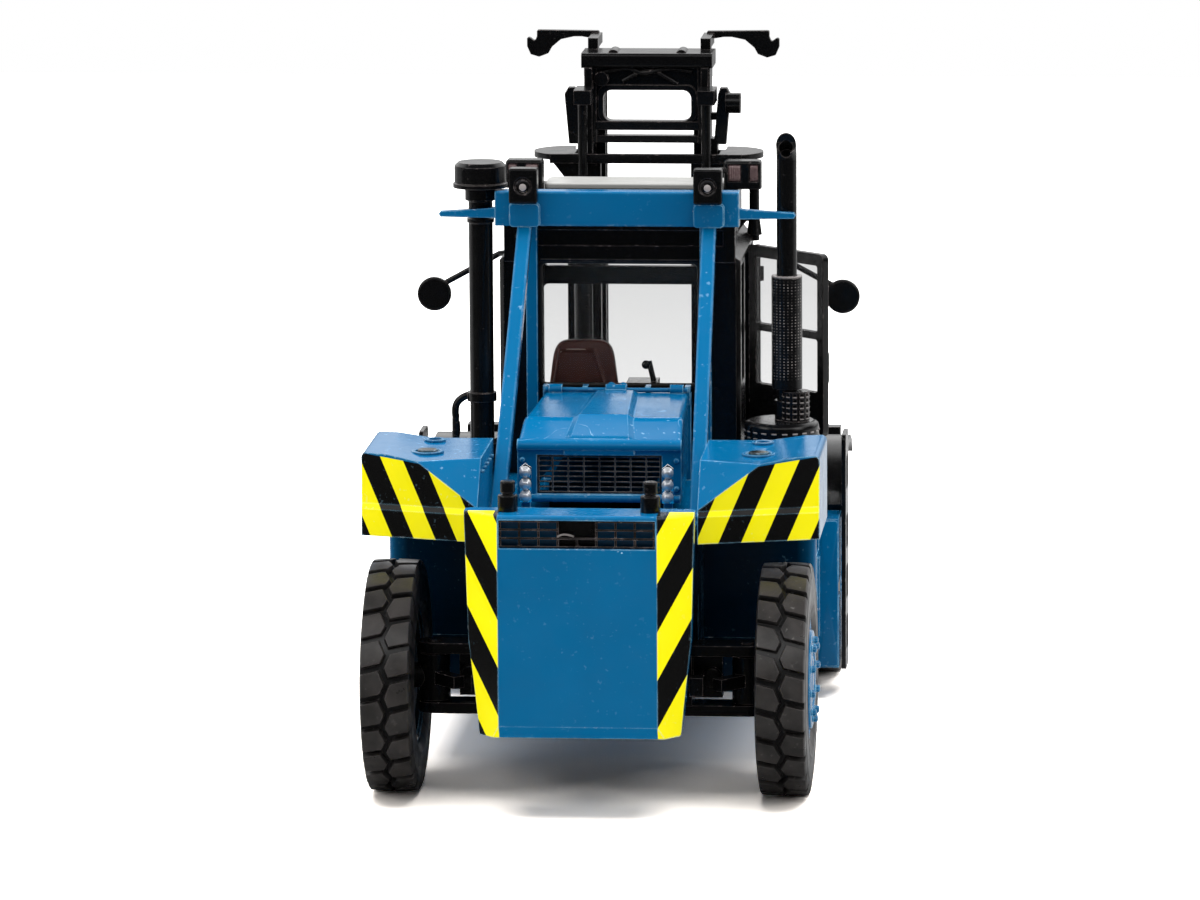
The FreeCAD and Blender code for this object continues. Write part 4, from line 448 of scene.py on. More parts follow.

# %% [markdown]
# ## Paint
# Every painted piece has the same build-up: a base colour with darker patches, dust that
# lies mostly on upward faces, hairlines, chips, a painted highlight along the edges, and an
# uneven skin. On the black, the chips are painted glints as well. A material for each piece
# could be drawn by hand. One function is shorter, and it keeps the paints of all the pieces alike.

# %% Paint
def paint(name, colour, worn, rough, specks=0.3, peel=0.12, chips_and_glints=0.0, chip_and_glint=(0.6, 0.66, 0.7),
          shade=0.12, specular=0.5, metallic=0.0, edge=0.16, rim=0.0, glint_colour=(0.3, 0.55, 0.7),
          scratch=0.0):
    """Paint, plastic or rubber from the shared effects.

    `colour` is an RGB, or a function that builds a socket. `worn` shows in specks and scratches.
    `chip_and_glint` colours spots along the edges: chips on the blue, painted glints on the black.
    `glint_colour` is a painted highlight along the edges, and `rim` is its amount.
    """
    m, n, link = new_material(name)
    shader = add(n, "BsdfPrincipled", Metallic=metallic)
    shader.inputs["Specular IOR Level"].default_value = specular
    soft = place_group(n, EDGE, Radius=edge * MM)
    unevenness = place_group(n, GRAIN, Scale=420.0, Fine=0.25)
    base = colour if isinstance(colour, tuple) else colour(n, link)
    if shade:
        patches = remap(n, link, object_noise(n, link, 90.0, 3.0), 0.35, 0.7, 0.0, shade)
        base = colour_mix(n, link, patches, base, tuple(0.45 * c for c in worn), "MULTIPLY")
    facing = add(n, "SeparateXYZ")
    link(add(n, "TexCoord").outputs["Normal"], facing.inputs[0])
    dusty = place_group(n, SPECKS, Scale=1400.0)
    on_top = min(1.0, 3.5 * specks)
    link(remap(n, link, facing.outputs[2], 0.2, 0.8, specks, on_top), dusty.inputs["Amount"])
    base = colour_mix(n, link, dusty.outputs["Mask"], base, worn)
    if scratch:
        lines = place_group(n, SCRATCHES, Scale=130.0, Width=0.0022).outputs["Mask"]
        amount = remap(n, link, facing.outputs[2], 0.75, 0.95, 0.0, scratch)
        base = colour_mix(n, link, calc(n, link, "MULTIPLY", lines, amount), base, worn)
    # Spots along the edges: chips, and on the black paint painted glints.
    if chips_and_glints:
        chip_and_glint_spots = remap(n, link, object_noise(n, link, 1100.0, 2.0), 0.60, 0.66, 0.0, chips_and_glints)
        base = colour_mix(n, link, calc(n, link, "MULTIPLY", chip_and_glint_spots, soft.outputs["Mask"]), base, chip_and_glint)
    # A painted highlight: a light band along the edges, broken up by a noise.
    if rim:
        chip_and_glint_spots = remap(n, link, object_noise(n, link, 350.0, 2.0), 0.35, 0.6, 0.25 * rim, rim)
        glint_mask = calc(n, link, "MULTIPLY", chip_and_glint_spots, soft.outputs["Mask"])
        base = colour_mix(n, link, glint_mask, base, glint_colour)
    bump = add(n, "Bump", Strength=peel, Distance=0.0001)
    link(base, shader.inputs["Base Color"])
    link(remap(n, link, unevenness.outputs["Height"], 0.35, 0.85, rough * 0.75, rough * 1.35),
         shader.inputs["Roughness"])
    link(unevenness.outputs["Height"], bump.inputs["Height"])
    link(soft.outputs["Normal"], bump.inputs["Normal"])
    link(bump.outputs[0], shader.inputs["Normal"])
    link(shader.outputs[0], n["Material Output"].inputs["Surface"])
    return m


print("paint ready")


# %% [markdown]
# ## Blue, bands and painted shade in the arches
# The warning bands are painted straight on the casting, so they are colour and not shape.
# An image texture could hold them. Here a band is a sum on the piece's own coordinates: it
# stays sharp at any size, follows the casting's edges, and moves with its piece. Inside the
# wheel arches the same kind of sum paints shade: it darkens the blue towards black there,
# most near the body.

# %% Bands and the blue
def striped(n, link, value, start, period, width):
    """1 inside bands of `width` that repeat every `period` along a value, soft over a hair's breadth."""
    phase = calc(n, link, "WRAP", calc(n, link, "SUBTRACT", value, start), period, 0.0)
    rise = remap(n, link, phase, 0.0, 0.05)
    fall = remap(n, link, phase, width, width + 0.05, 1.0, 0.0)
    return calc(n, link, "MULTIPLY", rise, fall)


BLUE = (0.0004, 0.101, 0.240)
YELLOW = (0.86, 0.77, 0.0)
INK = (0.004, 0.004, 0.004)
BLUE_WORN = (0.30, 0.55, 0.70)
# The colour of the painted shade inside the wheel arches.
ARCH_SHADE_BLUE = (0.0005, 0.004, 0.010)
ARCH_FROM_IN = 10.0
ARCH_TO_IN = 37.8
ARCH_TOP = 33.4
ARCH_SIDE_X = 25.5


def arch_painted_shade(n, link, colour):
    """Painted shade: darkens a colour inside the wheel arches, most near the body."""
    x, y, z = object_axes(n, link)
    past_tail = remap(n, link, y, from_tail(ARCH_FROM_IN), from_tail(ARCH_FROM_IN + 8.0))
    under = remap(n, link, z, ARCH_TOP * MM, (ARCH_TOP - 0.4) * MM)
    before_tank = remap(n, link, y, from_tail(ARCH_TO_IN), from_tail(ARCH_TO_IN + 0.6), 1.0, 0.0)
    inside = calc(n, link, "MULTIPLY", calc(n, link, "MULTIPLY", past_tail, under), before_tank)
    across = calc(n, link, "ABSOLUTE", x)
    depth = remap(n, link, across, ARCH_SIDE_X * MM, (ARCH_SIDE_X + 2.2) * MM, 0.90, 0.25)
    return colour_mix(n, link, calc(n, link, "MULTIPLY", inside, depth), colour, ARCH_SHADE_BLUE)


def blue_colours(n, link):
    """The body's blue, with painted shade inside the wheel arches."""
    return arch_painted_shade(n, link, BLUE)


print("blue", BLUE, "yellow", YELLOW)

# %% Tail colours
PLATE_HALF = 10.1
TAIL_BAND = 6.18
TAIL_BAND_LOW = 19.85
TAIL_BAND_SLOPE = 1.8
TAIL_RIGHT_SHIFT = 1.44
TAIL_FACE_IN = 3.6
SCUFF_X = 5.9
SCUFF_Z = 34.7


def tail_colours(n, link):
    """Blue tail, scuffed at its lip, with bands on its slanted faces that run towards the plate."""
    x, y, z = [calc(n, link, "DIVIDE", a, MM) for a in object_axes(n, link)]
    across = calc(n, link, "ABSOLUTE", x)
    side_shift = remap(n, link, x, -0.1, 0.1, 0.0, TAIL_RIGHT_SHIFT)
    slope = calc(n, link, "MULTIPLY", calc(n, link, "SUBTRACT", across, PLATE_HALF), TAIL_BAND_SLOPE)
    along = calc(n, link, "ADD", calc(n, link, "SUBTRACT", z, slope), side_shift)
    bands = striped(n, link, along, TAIL_BAND_LOW, 2 * TAIL_BAND, TAIL_BAND)
    colour = colour_mix(n, link, bands, INK, YELLOW)
    outside = remap(n, link, across, PLATE_HALF - 0.06, PLATE_HALF + 0.02)
    depth = calc(n, link, "SUBTRACT", y, TAIL / MM)
    near = remap(n, link, depth, TAIL_FACE_IN, TAIL_FACE_IN + 0.2, 1.0, 0.0)
    from_x = calc(n, link, "ABSOLUTE", calc(n, link, "SUBTRACT", x, SCUFF_X))
    from_z = calc(n, link, "ABSOLUTE", calc(n, link, "SUBTRACT", z, SCUFF_Z))
    scuffs = calc(n, link, "MULTIPLY", remap(n, link, from_x, 0.5, 1.0, 1.0, 0.0),
                  remap(n, link, from_z, 0.2, 0.5, 1.0, 0.0))
    flecks = remap(n, link, object_noise(n, link, 1500.0, 2.0), 0.54, 0.58)
    scuffs = calc(n, link, "MULTIPLY", scuffs, flecks)
    body = colour_mix(n, link, scuffs, BLUE, BLUE_WORN)
    on_slant = calc(n, link, "MULTIPLY", outside, near)
    # Painted shade darkens the tail inside the wheel arches.
    return arch_painted_shade(n, link, colour_mix(n, link, on_slant, body, colour))


print("tail bands", TAIL_BAND, "mm high")

# %% Fender colours
FENDER_BAND = 2.9
FENDER_BAND_PITCH = 5.78
FENDER_BAND_X = 13.9
FENDER_BAND_LEAN = 0.43
FENDER_FOOT = 33.5
FENDER_TOP = 43.0
FENDER_TOP_X = 22.0
FENDER_TOP_SLOPE = 0.13
FENDER_INNER_X = 14.15


def fender_colours(n, link):
    """Blue fender whose swept rear face carries slanting bands up to just below its top edge."""
    x, y, z = [calc(n, link, "DIVIDE", a, MM) for a in object_axes(n, link)]
    across = calc(n, link, "ABSOLUTE", x)
    rise = calc(n, link, "MULTIPLY", calc(n, link, "SUBTRACT", z, FENDER_FOOT), FENDER_BAND_LEAN)
    leaned = calc(n, link, "SUBTRACT", across, rise)
    bands = striped(n, link, leaned, FENDER_BAND_X, FENDER_BAND_PITCH, FENDER_BAND)
    colour = colour_mix(n, link, bands, INK, YELLOW)
    normal = add(n, "SeparateXYZ")
    link(add(n, "TexCoord").outputs["Normal"], normal.inputs[0])
    facing = remap(n, link, normal.outputs[1], -0.60, -0.64)
    upright = remap(n, link, normal.outputs[2], 0.60, 0.56)
    top_at_middle = FENDER_TOP - FENDER_TOP_SLOPE * FENDER_TOP_X
    top = calc(n, link, "MULTIPLY_ADD", across, FENDER_TOP_SLOPE, top_at_middle)
    below = remap(n, link, calc(n, link, "SUBTRACT", z, top), 0.0, 0.05, 1.0, 0.0)
    outer = remap(n, link, across, FENDER_INNER_X, FENDER_INNER_X + 0.1)
    where = calc(n, link, "MULTIPLY", calc(n, link, "MULTIPLY", facing, upright),
                 calc(n, link, "MULTIPLY", below, outer))
    return colour_mix(n, link, where, BLUE, colour)


print("fender bands", FENDER_BAND, "mm wide")

# %% [markdown]
# ## Caps, mesh and sleeve
# Three small castings carry two paints each, or holes that show only as painted highlights
# on their lips. The mesh's back plate is a darker blue, painted shade behind its bars.
# Cutting the holes as shape would cost thousands of faces for a hole of a few tenths of a
# millimetre. A mask on the piece's own coordinates shows the same and adds no face.

# %% Filler caps and tail mesh
CAP_X = 21.4
CAP_IN = 24.0
CAP_R = 1.50


def cap_colours(n, link):
    """Blue ring round a black filler cap."""
    x, y = object_axes(n, link)[:2]
    flat = add(n, "CombineXYZ")
    link(calc(n, link, "ABSOLUTE", x), flat.inputs[0])
    link(y, flat.inputs[1])
    away = add(n, "VectorMath", operation="DISTANCE")
    link(flat.outputs[0], away.inputs[0])
    away.inputs[1].default_value = (CAP_X * MM, from_tail(CAP_IN), 0)
    ring = remap(n, link, away.outputs["Value"], CAP_R * MM, (CAP_R + 0.04) * MM)
    return colour_mix(n, link, ring, INK, BLUE)


BREAK_HALF = 2.5
MESH_BACK_IN = 1.2
# The back plate's blue, darkened as painted shade.
SHADED_BLUE = (0.0004, 0.030, 0.072)


def grille_colours(n, link):
    """Black bars in front of a back plate painted a darker blue for the shade behind the bars, and black
    where the mesh is broken out.
    """
    x, y = object_axes(n, link)[:2]
    across = calc(n, link, "ABSOLUTE", x)
    beside = remap(n, link, across, BREAK_HALF * MM, (BREAK_HALF + 0.2) * MM)
    back = colour_mix(n, link, beside, INK, SHADED_BLUE)
    sunk = remap(n, link, y, from_tail(MESH_BACK_IN), from_tail(MESH_BACK_IN + 0.05))
    return colour_mix(n, link, sunk, INK, back)


print("caps", CAP_R, "mm in radius, break in the mesh", 2 * BREAK_HALF, "mm wide")

# %% Drilled sleeve
HOLES_ROUND = 24
HOLE_PITCH = 0.40
HOLES_FROM = 46.8
SLEEVE_BLACK = (0.004, 0.004, 0.0042)
# The colour of the painted highlights on the lips of the holes.
HOLE_GLINT = (0.22, 0.20, 0.19)


def sleeve_colours(n, link):
    """Black sleeve with rows of small light dots: painted highlights on the lips of its holes."""
    x, y, z = object_axes(n, link)
    turn = calc(n, link, "ARCTAN2", calc(n, link, "SUBTRACT", y, from_tail(STACK_IN)),
                calc(n, link, "SUBTRACT", x, EXHAUST_X * MM))
    column = calc(n, link, "FRACT", calc(n, link, "MULTIPLY", turn, HOLES_ROUND / (2 * math.pi)))
    row = calc(n, link, "FRACT", calc(n, link, "DIVIDE", z, HOLE_PITCH * MM))
    across = calc(n, link, "SUBTRACT", column, 0.5)
    up = calc(n, link, "SUBTRACT", row, 0.5)
    square_across = calc(n, link, "MULTIPLY", across, across)
    square_up = calc(n, link, "MULTIPLY", up, up)
    away = calc(n, link, "SQRT", calc(n, link, "ADD", square_across, square_up))
    dot = remap(n, link, away, 0.24, 0.17)
    drilled = remap(n, link, z, HOLES_FROM * MM, (HOLES_FROM + 0.4) * MM)
    bright = remap(n, link, object_noise(n, link, 800.0, 2.0), 0.40, 0.62, 0.1, 1.0)
    lit = calc(n, link, "MULTIPLY", calc(n, link, "MULTIPLY", dot, drilled), bright)
    return colour_mix(n, link, lit, SLEEVE_BLACK, HOLE_GLINT)


print("holes round the sleeve", HOLES_ROUND, "every", HOLE_PITCH, "mm")

# %% [markdown]
# ## The set of finishes
# A die-cast model has few finishes: blue and black paint, rubber, bright plating and a
# moulded seat. Each is a call of `paint` with its own colours and amounts. The blue and the
# black keep theirs in one place, because several materials start from them.

# %% Finishes
BLACK_WORN = (0.14, 0.12, 0.12)
# Colours of the painted highlights along the edges of the blue and the black.
BLUE_GLINT = (0.30, 0.62, 0.82)
BLACK_GLINT = (0.15, 0.125, 0.12)
blue_finish = dict(worn=BLUE_WORN, rough=0.15, specks=0.10, peel=0.10, chips_and_glints=0.8, rim=0.75,
                   glint_colour=BLUE_GLINT, scratch=0.5, specular=0.22, edge=0.30)
# On the black, the chips are painted glints in a pinkish grey.
black_finish = dict(worn=BLACK_WORN, rough=0.20, specks=0.10, peel=0.2, specular=0.32, edge=0.22,
                    rim=0.45, glint_colour=BLACK_GLINT, chips_and_glints=0.7, chip_and_glint=(0.30, 0.25, 0.24))
# The hood's mesh carries a stronger painted highlight on its bars.
mesh_finish = {**black_finish, "rim": 0.9, "glint_colour": (0.26, 0.235, 0.225)}
clean_blue = {**blue_finish, "specks": 0.08, "scratch": 0.0}
vinyl = dict(worn=(0.10, 0.05, 0.04), rough=0.36, specks=0.1, peel=0.4, specular=0.22)
materials = {
    "blue_paint": paint("blue_paint", blue_colours, **blue_finish),
    "tail_paint": paint("tail_paint", tail_colours, **clean_blue),
    "fender_paint": paint("fender_paint", fender_colours, **blue_finish),
    "cap_paint": paint("cap_paint", cap_colours, **blue_finish),
    "black_paint": paint("black_paint", (0.0030, 0.0030, 0.0032), **black_finish),
    # The tail grille's bars carry a stronger painted highlight too.
    "grille_paint": paint("grille_paint", grille_colours, **{**black_finish, "rim": 0.8}),
    "mesh_paint": paint("mesh_paint", INK, **mesh_finish),
    "sleeve_paint": paint("sleeve_paint", sleeve_colours, **black_finish),
    "cream_paint": paint("cream_paint", (0.30, 0.30, 0.29), (0.3, 0.3, 0.28), 0.35, 0.2, 0.1),
    "rubber": paint("rubber", (0.0105, 0.0095, 0.0088), (0.09, 0.085, 0.08), 0.38, 0.3, 0.5,
                    specular=0.25),
    "chrome": paint("chrome", (0.82, 0.83, 0.85), (0.5, 0.5, 0.5), 0.10, 0.1, 0.05, metallic=1.0,
                    shade=0),
    "steel": paint("steel", (0.45, 0.45, 0.46), (0.2, 0.2, 0.2), 0.3, 0.2, 0.1, metallic=1.0),
    "seat_vinyl": paint("seat_vinyl", (0.050, 0.0115, 0.0075), **vinyl),
    # The welt's light brown is a painted highlight along the seat back's edge.
    "seat_welt": paint("seat_welt", (0.26, 0.19, 0.16), (0.3, 0.25, 0.2), 0.35, 0.1, 0.3),
}
print("finishes", sorted(materials))


# %% [markdown]
# ## Windows
# The windows are clear moulded plastic, thinner to the eye than glass. Glass with its full
# bending of light would darken the cab behind it and shift its posts. A low index keeps the
# panes clear, and a faint unevenness in their gloss shows that something is there.

# %% Clear plastic
PLASTIC_IOR = 1.12


def glass(name, tint, rough, clear):
    """Clear moulded plastic: thin, faintly tinted, with smudges in its roughness."""
    m, n, link = new_material(name)
    shader = add(n, "BsdfPrincipled")
    shader.inputs["Base Color"].default_value = (*tint, 1)
    shader.inputs["Transmission Weight"].default_value = clear
    shader.inputs["IOR"].default_value = PLASTIC_IOR
    smudges = remap(n, link, object_noise(n, link, 160.0, 4.0), 0.4, 0.75, rough, rough + 0.03)
    link(smudges, shader.inputs["Roughness"])
    link(shader.outputs[0], n["Material Output"].inputs["Surface"])
    return m


materials["clear_glass"] = glass("clear_glass", (0.996, 0.997, 0.997), 0.0, 0.996)
print("windows", sorted(name for name in nodes if slot_of[name] == "clear_glass"))

# %% [markdown]
# ## Dressing the solid pieces
# Each solid piece has a slot that names its finish. A few need one of their own, because
# they carry bands, two paints or holes. Its old material is taken off first, so that no
# bare grey is left under the new one.

# %% Dressing
special = {"tail_counterweight": "tail_paint", "left_rear_fender": "fender_paint",
           "right_rear_fender": "fender_paint", "filler_caps": "cap_paint",
           "tail_grille": "grille_paint", "hood_grille": "mesh_paint", "exhaust_shield": "sleeve_paint"}
for name, node in nodes.items():
    node.data.materials.clear()
    node.data.materials.append(materials[special.get(name, slot_of[name])])
print("dressed", len(nodes), "with their own finish", sorted(special))

# %% [markdown]
# ## Surfaces from whole arrays
# Small moulded shapes are surfaces of two parameters: one runs round or along the piece,
# the other across it. They could be modelled by hand, or from stacked primitives. Here
# numpy works out every point at once, and the same few helpers turn such grids into
# meshes. This keeps each shape a short formula that can be read and changed.

# %% Grids, joins and mirrors
def grid_faces(rows, columns, close_rows=False, close_columns=False):
    """Quads between neighbours of a grid stored row by row; a closed direction joins its ends."""
    i, j = np.meshgrid(np.arange(rows - (not close_rows)), np.arange(columns - (not close_columns)),
                       indexing="ij")
    ni, nj = (i + 1) % rows, (j + 1) % columns
    quads = np.stack([i * columns + j, i * columns + nj, ni * columns + nj, ni * columns + j], axis=-1)
    return quads.reshape(-1, 4)


def joined(parts):
    """Several (points, faces) as one; each part's faces count on from the points before it."""
    starts = np.cumsum([0] + [len(p) for p, f in parts[:-1]])
    return np.vstack([p for p, f in parts]), np.vstack([f + s for (p, f), s in zip(parts, starts)])


def mirrored(part):
    """The part and its copy with X negated."""
    points, faces = part
    return joined([part, (points * (-1, 1, 1), faces[:, ::-1])])


print("a grid of 3 by 4 points has", len(grid_faces(3, 4)), "faces")


# %% From points to a piece
def new_piece(name, part, material, body, stands_for=(), sharp=40.0, attribute=None):
    """A mesh object in the frame from points in millimetres; doubles merged and faces turned outward."""
    points, faces = part
    mesh = bpy.data.meshes.new(name)
    mesh.from_pydata((points * MM).tolist(), [], faces.tolist())
    if attribute is not None:
        mesh.attributes.new("raised", "FLOAT", "POINT").data.foreach_set("value", attribute)
    b = bmesh.new()
    b.from_mesh(mesh)
    bmesh.ops.remove_doubles(b, verts=b.verts, dist=2e-6)
    bmesh.ops.recalc_face_normals(b, faces=b.faces)
    b.to_mesh(mesh)
    b.free()
    mesh.polygons.foreach_set("use_smooth", np.ones(len(mesh.polygons), dtype=bool))
    mesh.set_sharp_from_angle(angle=math.radians(sharp))
    mesh.materials.append(material)
    piece = bpy.data.objects.new(name, mesh)
    scene.collection.objects.link(piece)
    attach(piece, body)
    if stands_for:
        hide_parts(*stands_for)
    print(name, "faces", len(mesh.polygons))
    return piece


print("new pieces are placed in", scene.name)


# %% Turned and carried shapes
def turned(profile, centre, axis=(0, 0, 1), sides=16):
    """A profile of (radius, distance along the axis) carried round the axis through the centre."""
    a = Vector(axis).normalized()
    side = a.orthogonal().normalized()
    other = a.cross(side)
    angle = np.linspace(0, 2 * math.pi, sides, endpoint=False)
    ring = np.cos(angle)[:, None] * np.array(side) + np.sin(angle)[:, None] * np.array(other)
    p = np.array(profile, dtype=float)
    points = ring[:, None, :] * p[None, :, :1] + p[None, :, 1:] * np.array(a) + np.array(centre)
    return points.reshape(-1, 3), grid_faces(sides, len(p), close_rows=True)


def carried(path, section, up=(0, 1, 0), closed=False):
    """A section of (sideways, upward) points carried along a path; up is a direction off the path."""
    path = np.array(path, dtype=float)
    if closed:
        ahead = np.roll(path, -1, axis=0) - np.roll(path, 1, axis=0)
    else:
        ahead = np.gradient(path, axis=0)
    ahead /= np.linalg.norm(ahead, axis=1, keepdims=True)
    side = np.cross(ahead, np.array(up, dtype=float))
    side /= np.linalg.norm(side, axis=1, keepdims=True)
    top = np.cross(side, ahead)
    s = np.array(section, dtype=float)
    points = path[:, None, :] + side[:, None, :] * s[None, :, :1] + top[:, None, :] * s[None, :, 1:]
    parts = [(points.reshape(-1, 3), grid_faces(len(path), len(s), closed, True))]
    if not closed:
        for ring, centre in ((points[0], path[0]), (points[-1], path[-1])):
            fan = np.vstack([ring, np.repeat(centre[None], len(ring), axis=0)])
            parts.append((fan, grid_faces(2, len(ring), close_columns=True)))
    return joined(parts)


print("a ring of 16 by 3 points has", len(turned([(1, 0), (2, 0), (2, 1)], (0, 0, 0))[1]), "faces")


# %% Sections and paths
def circle(radius, sides=10):
    """Points of a circle, as a section."""
    a = np.linspace(0, 2 * math.pi, sides, endpoint=False)
    return np.stack([radius * np.cos(a), radius * np.sin(a)], axis=1)


def rounded_loop(x0, x1, z0, z1, radius, y, per_corner=6):
    """A rounded rectangle in an upright plane: four quarter circles joined by straight runs."""
    a = np.linspace(0, math.pi / 2, per_corner)
    middles = ((x1 - radius, z1 - radius), (x0 + radius, z1 - radius), (x0 + radius, z0 + radius),
               (x1 - radius, z0 + radius))
    corners = [np.stack([cx + radius * np.cos(a + k * math.pi / 2), np.full(per_corner, y),
                         cz + radius * np.sin(a + k * math.pi / 2)], axis=1)
               for k, (cx, cz) in enumerate(middles)]
    return np.vstack(corners)


def through(points, count):
    """A smooth curve through points: each coordinate eased by a Catmull-Rom sum."""
    p = np.array(points, dtype=float)
    p = np.vstack([2 * p[0] - p[1], p, 2 * p[-1] - p[-2]])
    t = np.linspace(0, len(points) - 1.0001, count)
    k = t.astype(int)
    f = (t - k)[:, None]
    a, b, c, d = p[k], p[k + 1], p[k + 2], p[k + 3]
    square, cube = 2 * a - 5 * b + 4 * c - d, 3 * b - a - 3 * c + d
    return 0.5 * (2 * b + (c - a) * f + square * f ** 2 + cube * f ** 3)


print("a quarter turn in 3 points", rounded_loop(0, 2, 0, 2, 1, 0, 3)[:3].round(2).tolist())

# %% [markdown]
# ## Tyre tread
# Heavy industrial tyres have two staggered rows of blunt lugs with a zigzag channel
# between them. Lugs could be cut from a ring with booleans, which leaves ragged faces. Here
# the whole tyre is one surface: one parameter goes round, the other round the section.
# Lines of the grid follow the grooves' edges, so that a groove is only a smaller radius
# between two lines. Each line across leans, which gives the lugs their slant. A step on
# the shoulder is (distance from the middle, radius on a lug, radius in a gap).

# %% Tread sizes
TYRE_R = 15.0
TYRE_HALF = 3.3
TWIN_PITCH = 7.5
LUGS = 24
LUG_LEAN = 0.17
TREAD_HALF = 2.95
GROOVE = 0.8
GAP_HALF = 0.10
ZIGZAG = 0.50
CROWN_DROP = 0.13
HALF_ROUND = np.array([0, .09, .125, .17, .25, .33, .375, .41])
ROUND_STEPS = np.hstack([HALF_ROUND, HALF_ROUND + 0.5])
HALF_TREAD = np.array([.095, .16, .35, .6, .88, 1])
TREAD_STEPS = np.hstack([-HALF_TREAD[::-1], 0, HALF_TREAD])
SHOULDER_LUGS = [(3.10, 14.62, 14.05), (3.20, 13.95, 13.75)]
SHOULDER_WALL = [(3.22, 13.35), (3.30, 13.20), (3.30, 13.02), (3.22, 12.86), (3.30, 11.20), (3.26, 10.30),
                 (3.34, 10.10), (3.34, 9.85), (3.20, 9.65), (2.90, 8.90), (2.50, 8.62)]
SHOULDER = np.array(SHOULDER_LUGS + [(x, r, r) for x, r in SHOULDER_WALL])


def groove_mask(step, centre):
    """1 on a lug and 0 in the gap whose middle is at `centre`, both as parts of one pitch."""
    away = np.abs((step - centre + 0.5) % 1.0 - 0.5)
    return (away > GAP_HALF).astype(float)


print("lugs", LUGS, "pitch in mm", round(2 * math.pi * TYRE_R / LUGS, 2))


# %% Tread surface
def tyre(x_middle, axle_y, side):
    """Radius = groove floor + lug height x mask; X = tread step + zigzag that fades to the shoulders."""
    step = np.tile(ROUND_STEPS, LUGS)[:, None]
    lug = (np.arange(LUGS * len(ROUND_STEPS)) // len(ROUND_STEPS))[:, None]
    u = TREAD_STEPS[None, :]
    zigzag = np.interp(step, [-.08, .42, .92, 1.42], [-1, 1, -1, 1])
    x_tread = TREAD_HALF * u + ZIGZAG * zigzag * (1 - np.abs(u))
    on_row = np.where(u < 0, groove_mask(step, 0.0), groove_mask(step, 0.5))
    on_tread = np.where(np.abs(u) < 0.1, 0.0, on_row)
    crown = TYRE_R - CROWN_DROP * u ** 2
    r_tread = crown - GROOVE + GROOVE * on_tread
    beside = len(SHOULDER)
    x_out = np.broadcast_to(SHOULDER[None, :, 0], (len(step), beside))

    def shoulder(row_mask):
        """Gap radius + (lug radius - gap radius) x mask, for each step of the shoulder."""
        return SHOULDER[None, :, 2] + (SHOULDER[None, :, 1] - SHOULDER[None, :, 2]) * row_mask

    left, right = groove_mask(step, 0.0), groove_mask(step, 0.5)
    x = np.hstack([-x_out[:, ::-1], x_tread, x_out]) * side
    r = np.hstack([shoulder(left)[:, ::-1], r_tread, shoulder(right)])
    raised = np.hstack([np.repeat(left, beside, 1), on_tread, np.repeat(right, beside, 1)])
    lean = np.hstack([np.full(beside, -1.0), TREAD_STEPS, np.full(beside, 1.0)])[None, :]
    angle = 2 * math.pi * (lug + step + LUG_LEAN * lean) / LUGS
    points = np.stack([x_middle + x, axle_y - r * np.cos(angle), TYRE_R + r * np.sin(angle)], axis=-1)
    rows, columns = x.shape
    return points.reshape(-1, 3), grid_faces(rows, columns, True, True), raised.reshape(-1)


print("one tyre has", len(tyre(0.0, 0.0, 1)[1]), "faces")


# %% Tread rubber
def rubber_colours(n, link):
    """Near black in the grooves; on the lug faces a brownish grey that varies with a noise."""
    raised = add(n, "Attribute", attribute_name="raised").outputs["Fac"]
    dust = object_noise(n, link, 260.0, 4.0, 0.6)
    scuffed = colour_mix(n, link, remap(n, link, dust, 0.35, 0.70), (0.014, 0.0130, 0.0125),
                         (0.033, 0.029, 0.0275))
    return colour_mix(n, link, raised, INK, scuffed)


# The lug edges carry a painted highlight.
tread_finish = dict(worn=(0.10, 0.095, 0.09), rough=0.34, specks=0.35, peel=0.45, specular=0.6, shade=0,
                    rim=0.45, glint_colour=(0.085, 0.07, 0.065))
materials["tread_rubber"] = paint("tread_rubber", rubber_colours, **tread_finish)
print("rubber", materials["tread_rubber"].name)

# %% Treads in place
for side, word in ((-1, "left"), (1, "right")):
    x = (low(word + "_rear_tyre", 0) + high(word + "_rear_tyre", 0)) / 2
    points, faces, raised = tyre(x, REAR_AXLE / MM, -side)
    new_piece(word + "_rear_tyre_tread", (points, faces), materials["tread_rubber"],
              word + "_rear_wheel", [word + "_rear_tyre"], attribute=raised)
    edge_x = high(word + "_front_tyres", 0) if side > 0 else -low(word + "_front_tyres", 0)
    middles = [side * (edge_x - TYRE_HALF - back) for back in (0.0, TWIN_PITCH)]
    pair = [tyre(x, FRONT_AXLE / MM, -side) for x in middles]
    points, faces = joined([p[:2] for p in pair])
    new_piece(word + "_front_tyre_treads", (points, faces), materials["tread_rubber"],
              word + "_front_wheel", [word + "_front_tyres"],
              attribute=np.concatenate([p[2] for p in pair]))

# %% [markdown]
# ## Operator's seat
# The seat is a padded moulding: a cushion and a tapered back with a stitched panel, whose
# welt runs along the top and the slanted edge in a light brown, a painted highlight where it
# catches the light. A box with bevels and a subdivision would do for the pads alone.
# Here each pad is a rounded box shape closed at both poles, and the welt and the panel are
# small moves of the same points, so that they stay part of the pad.

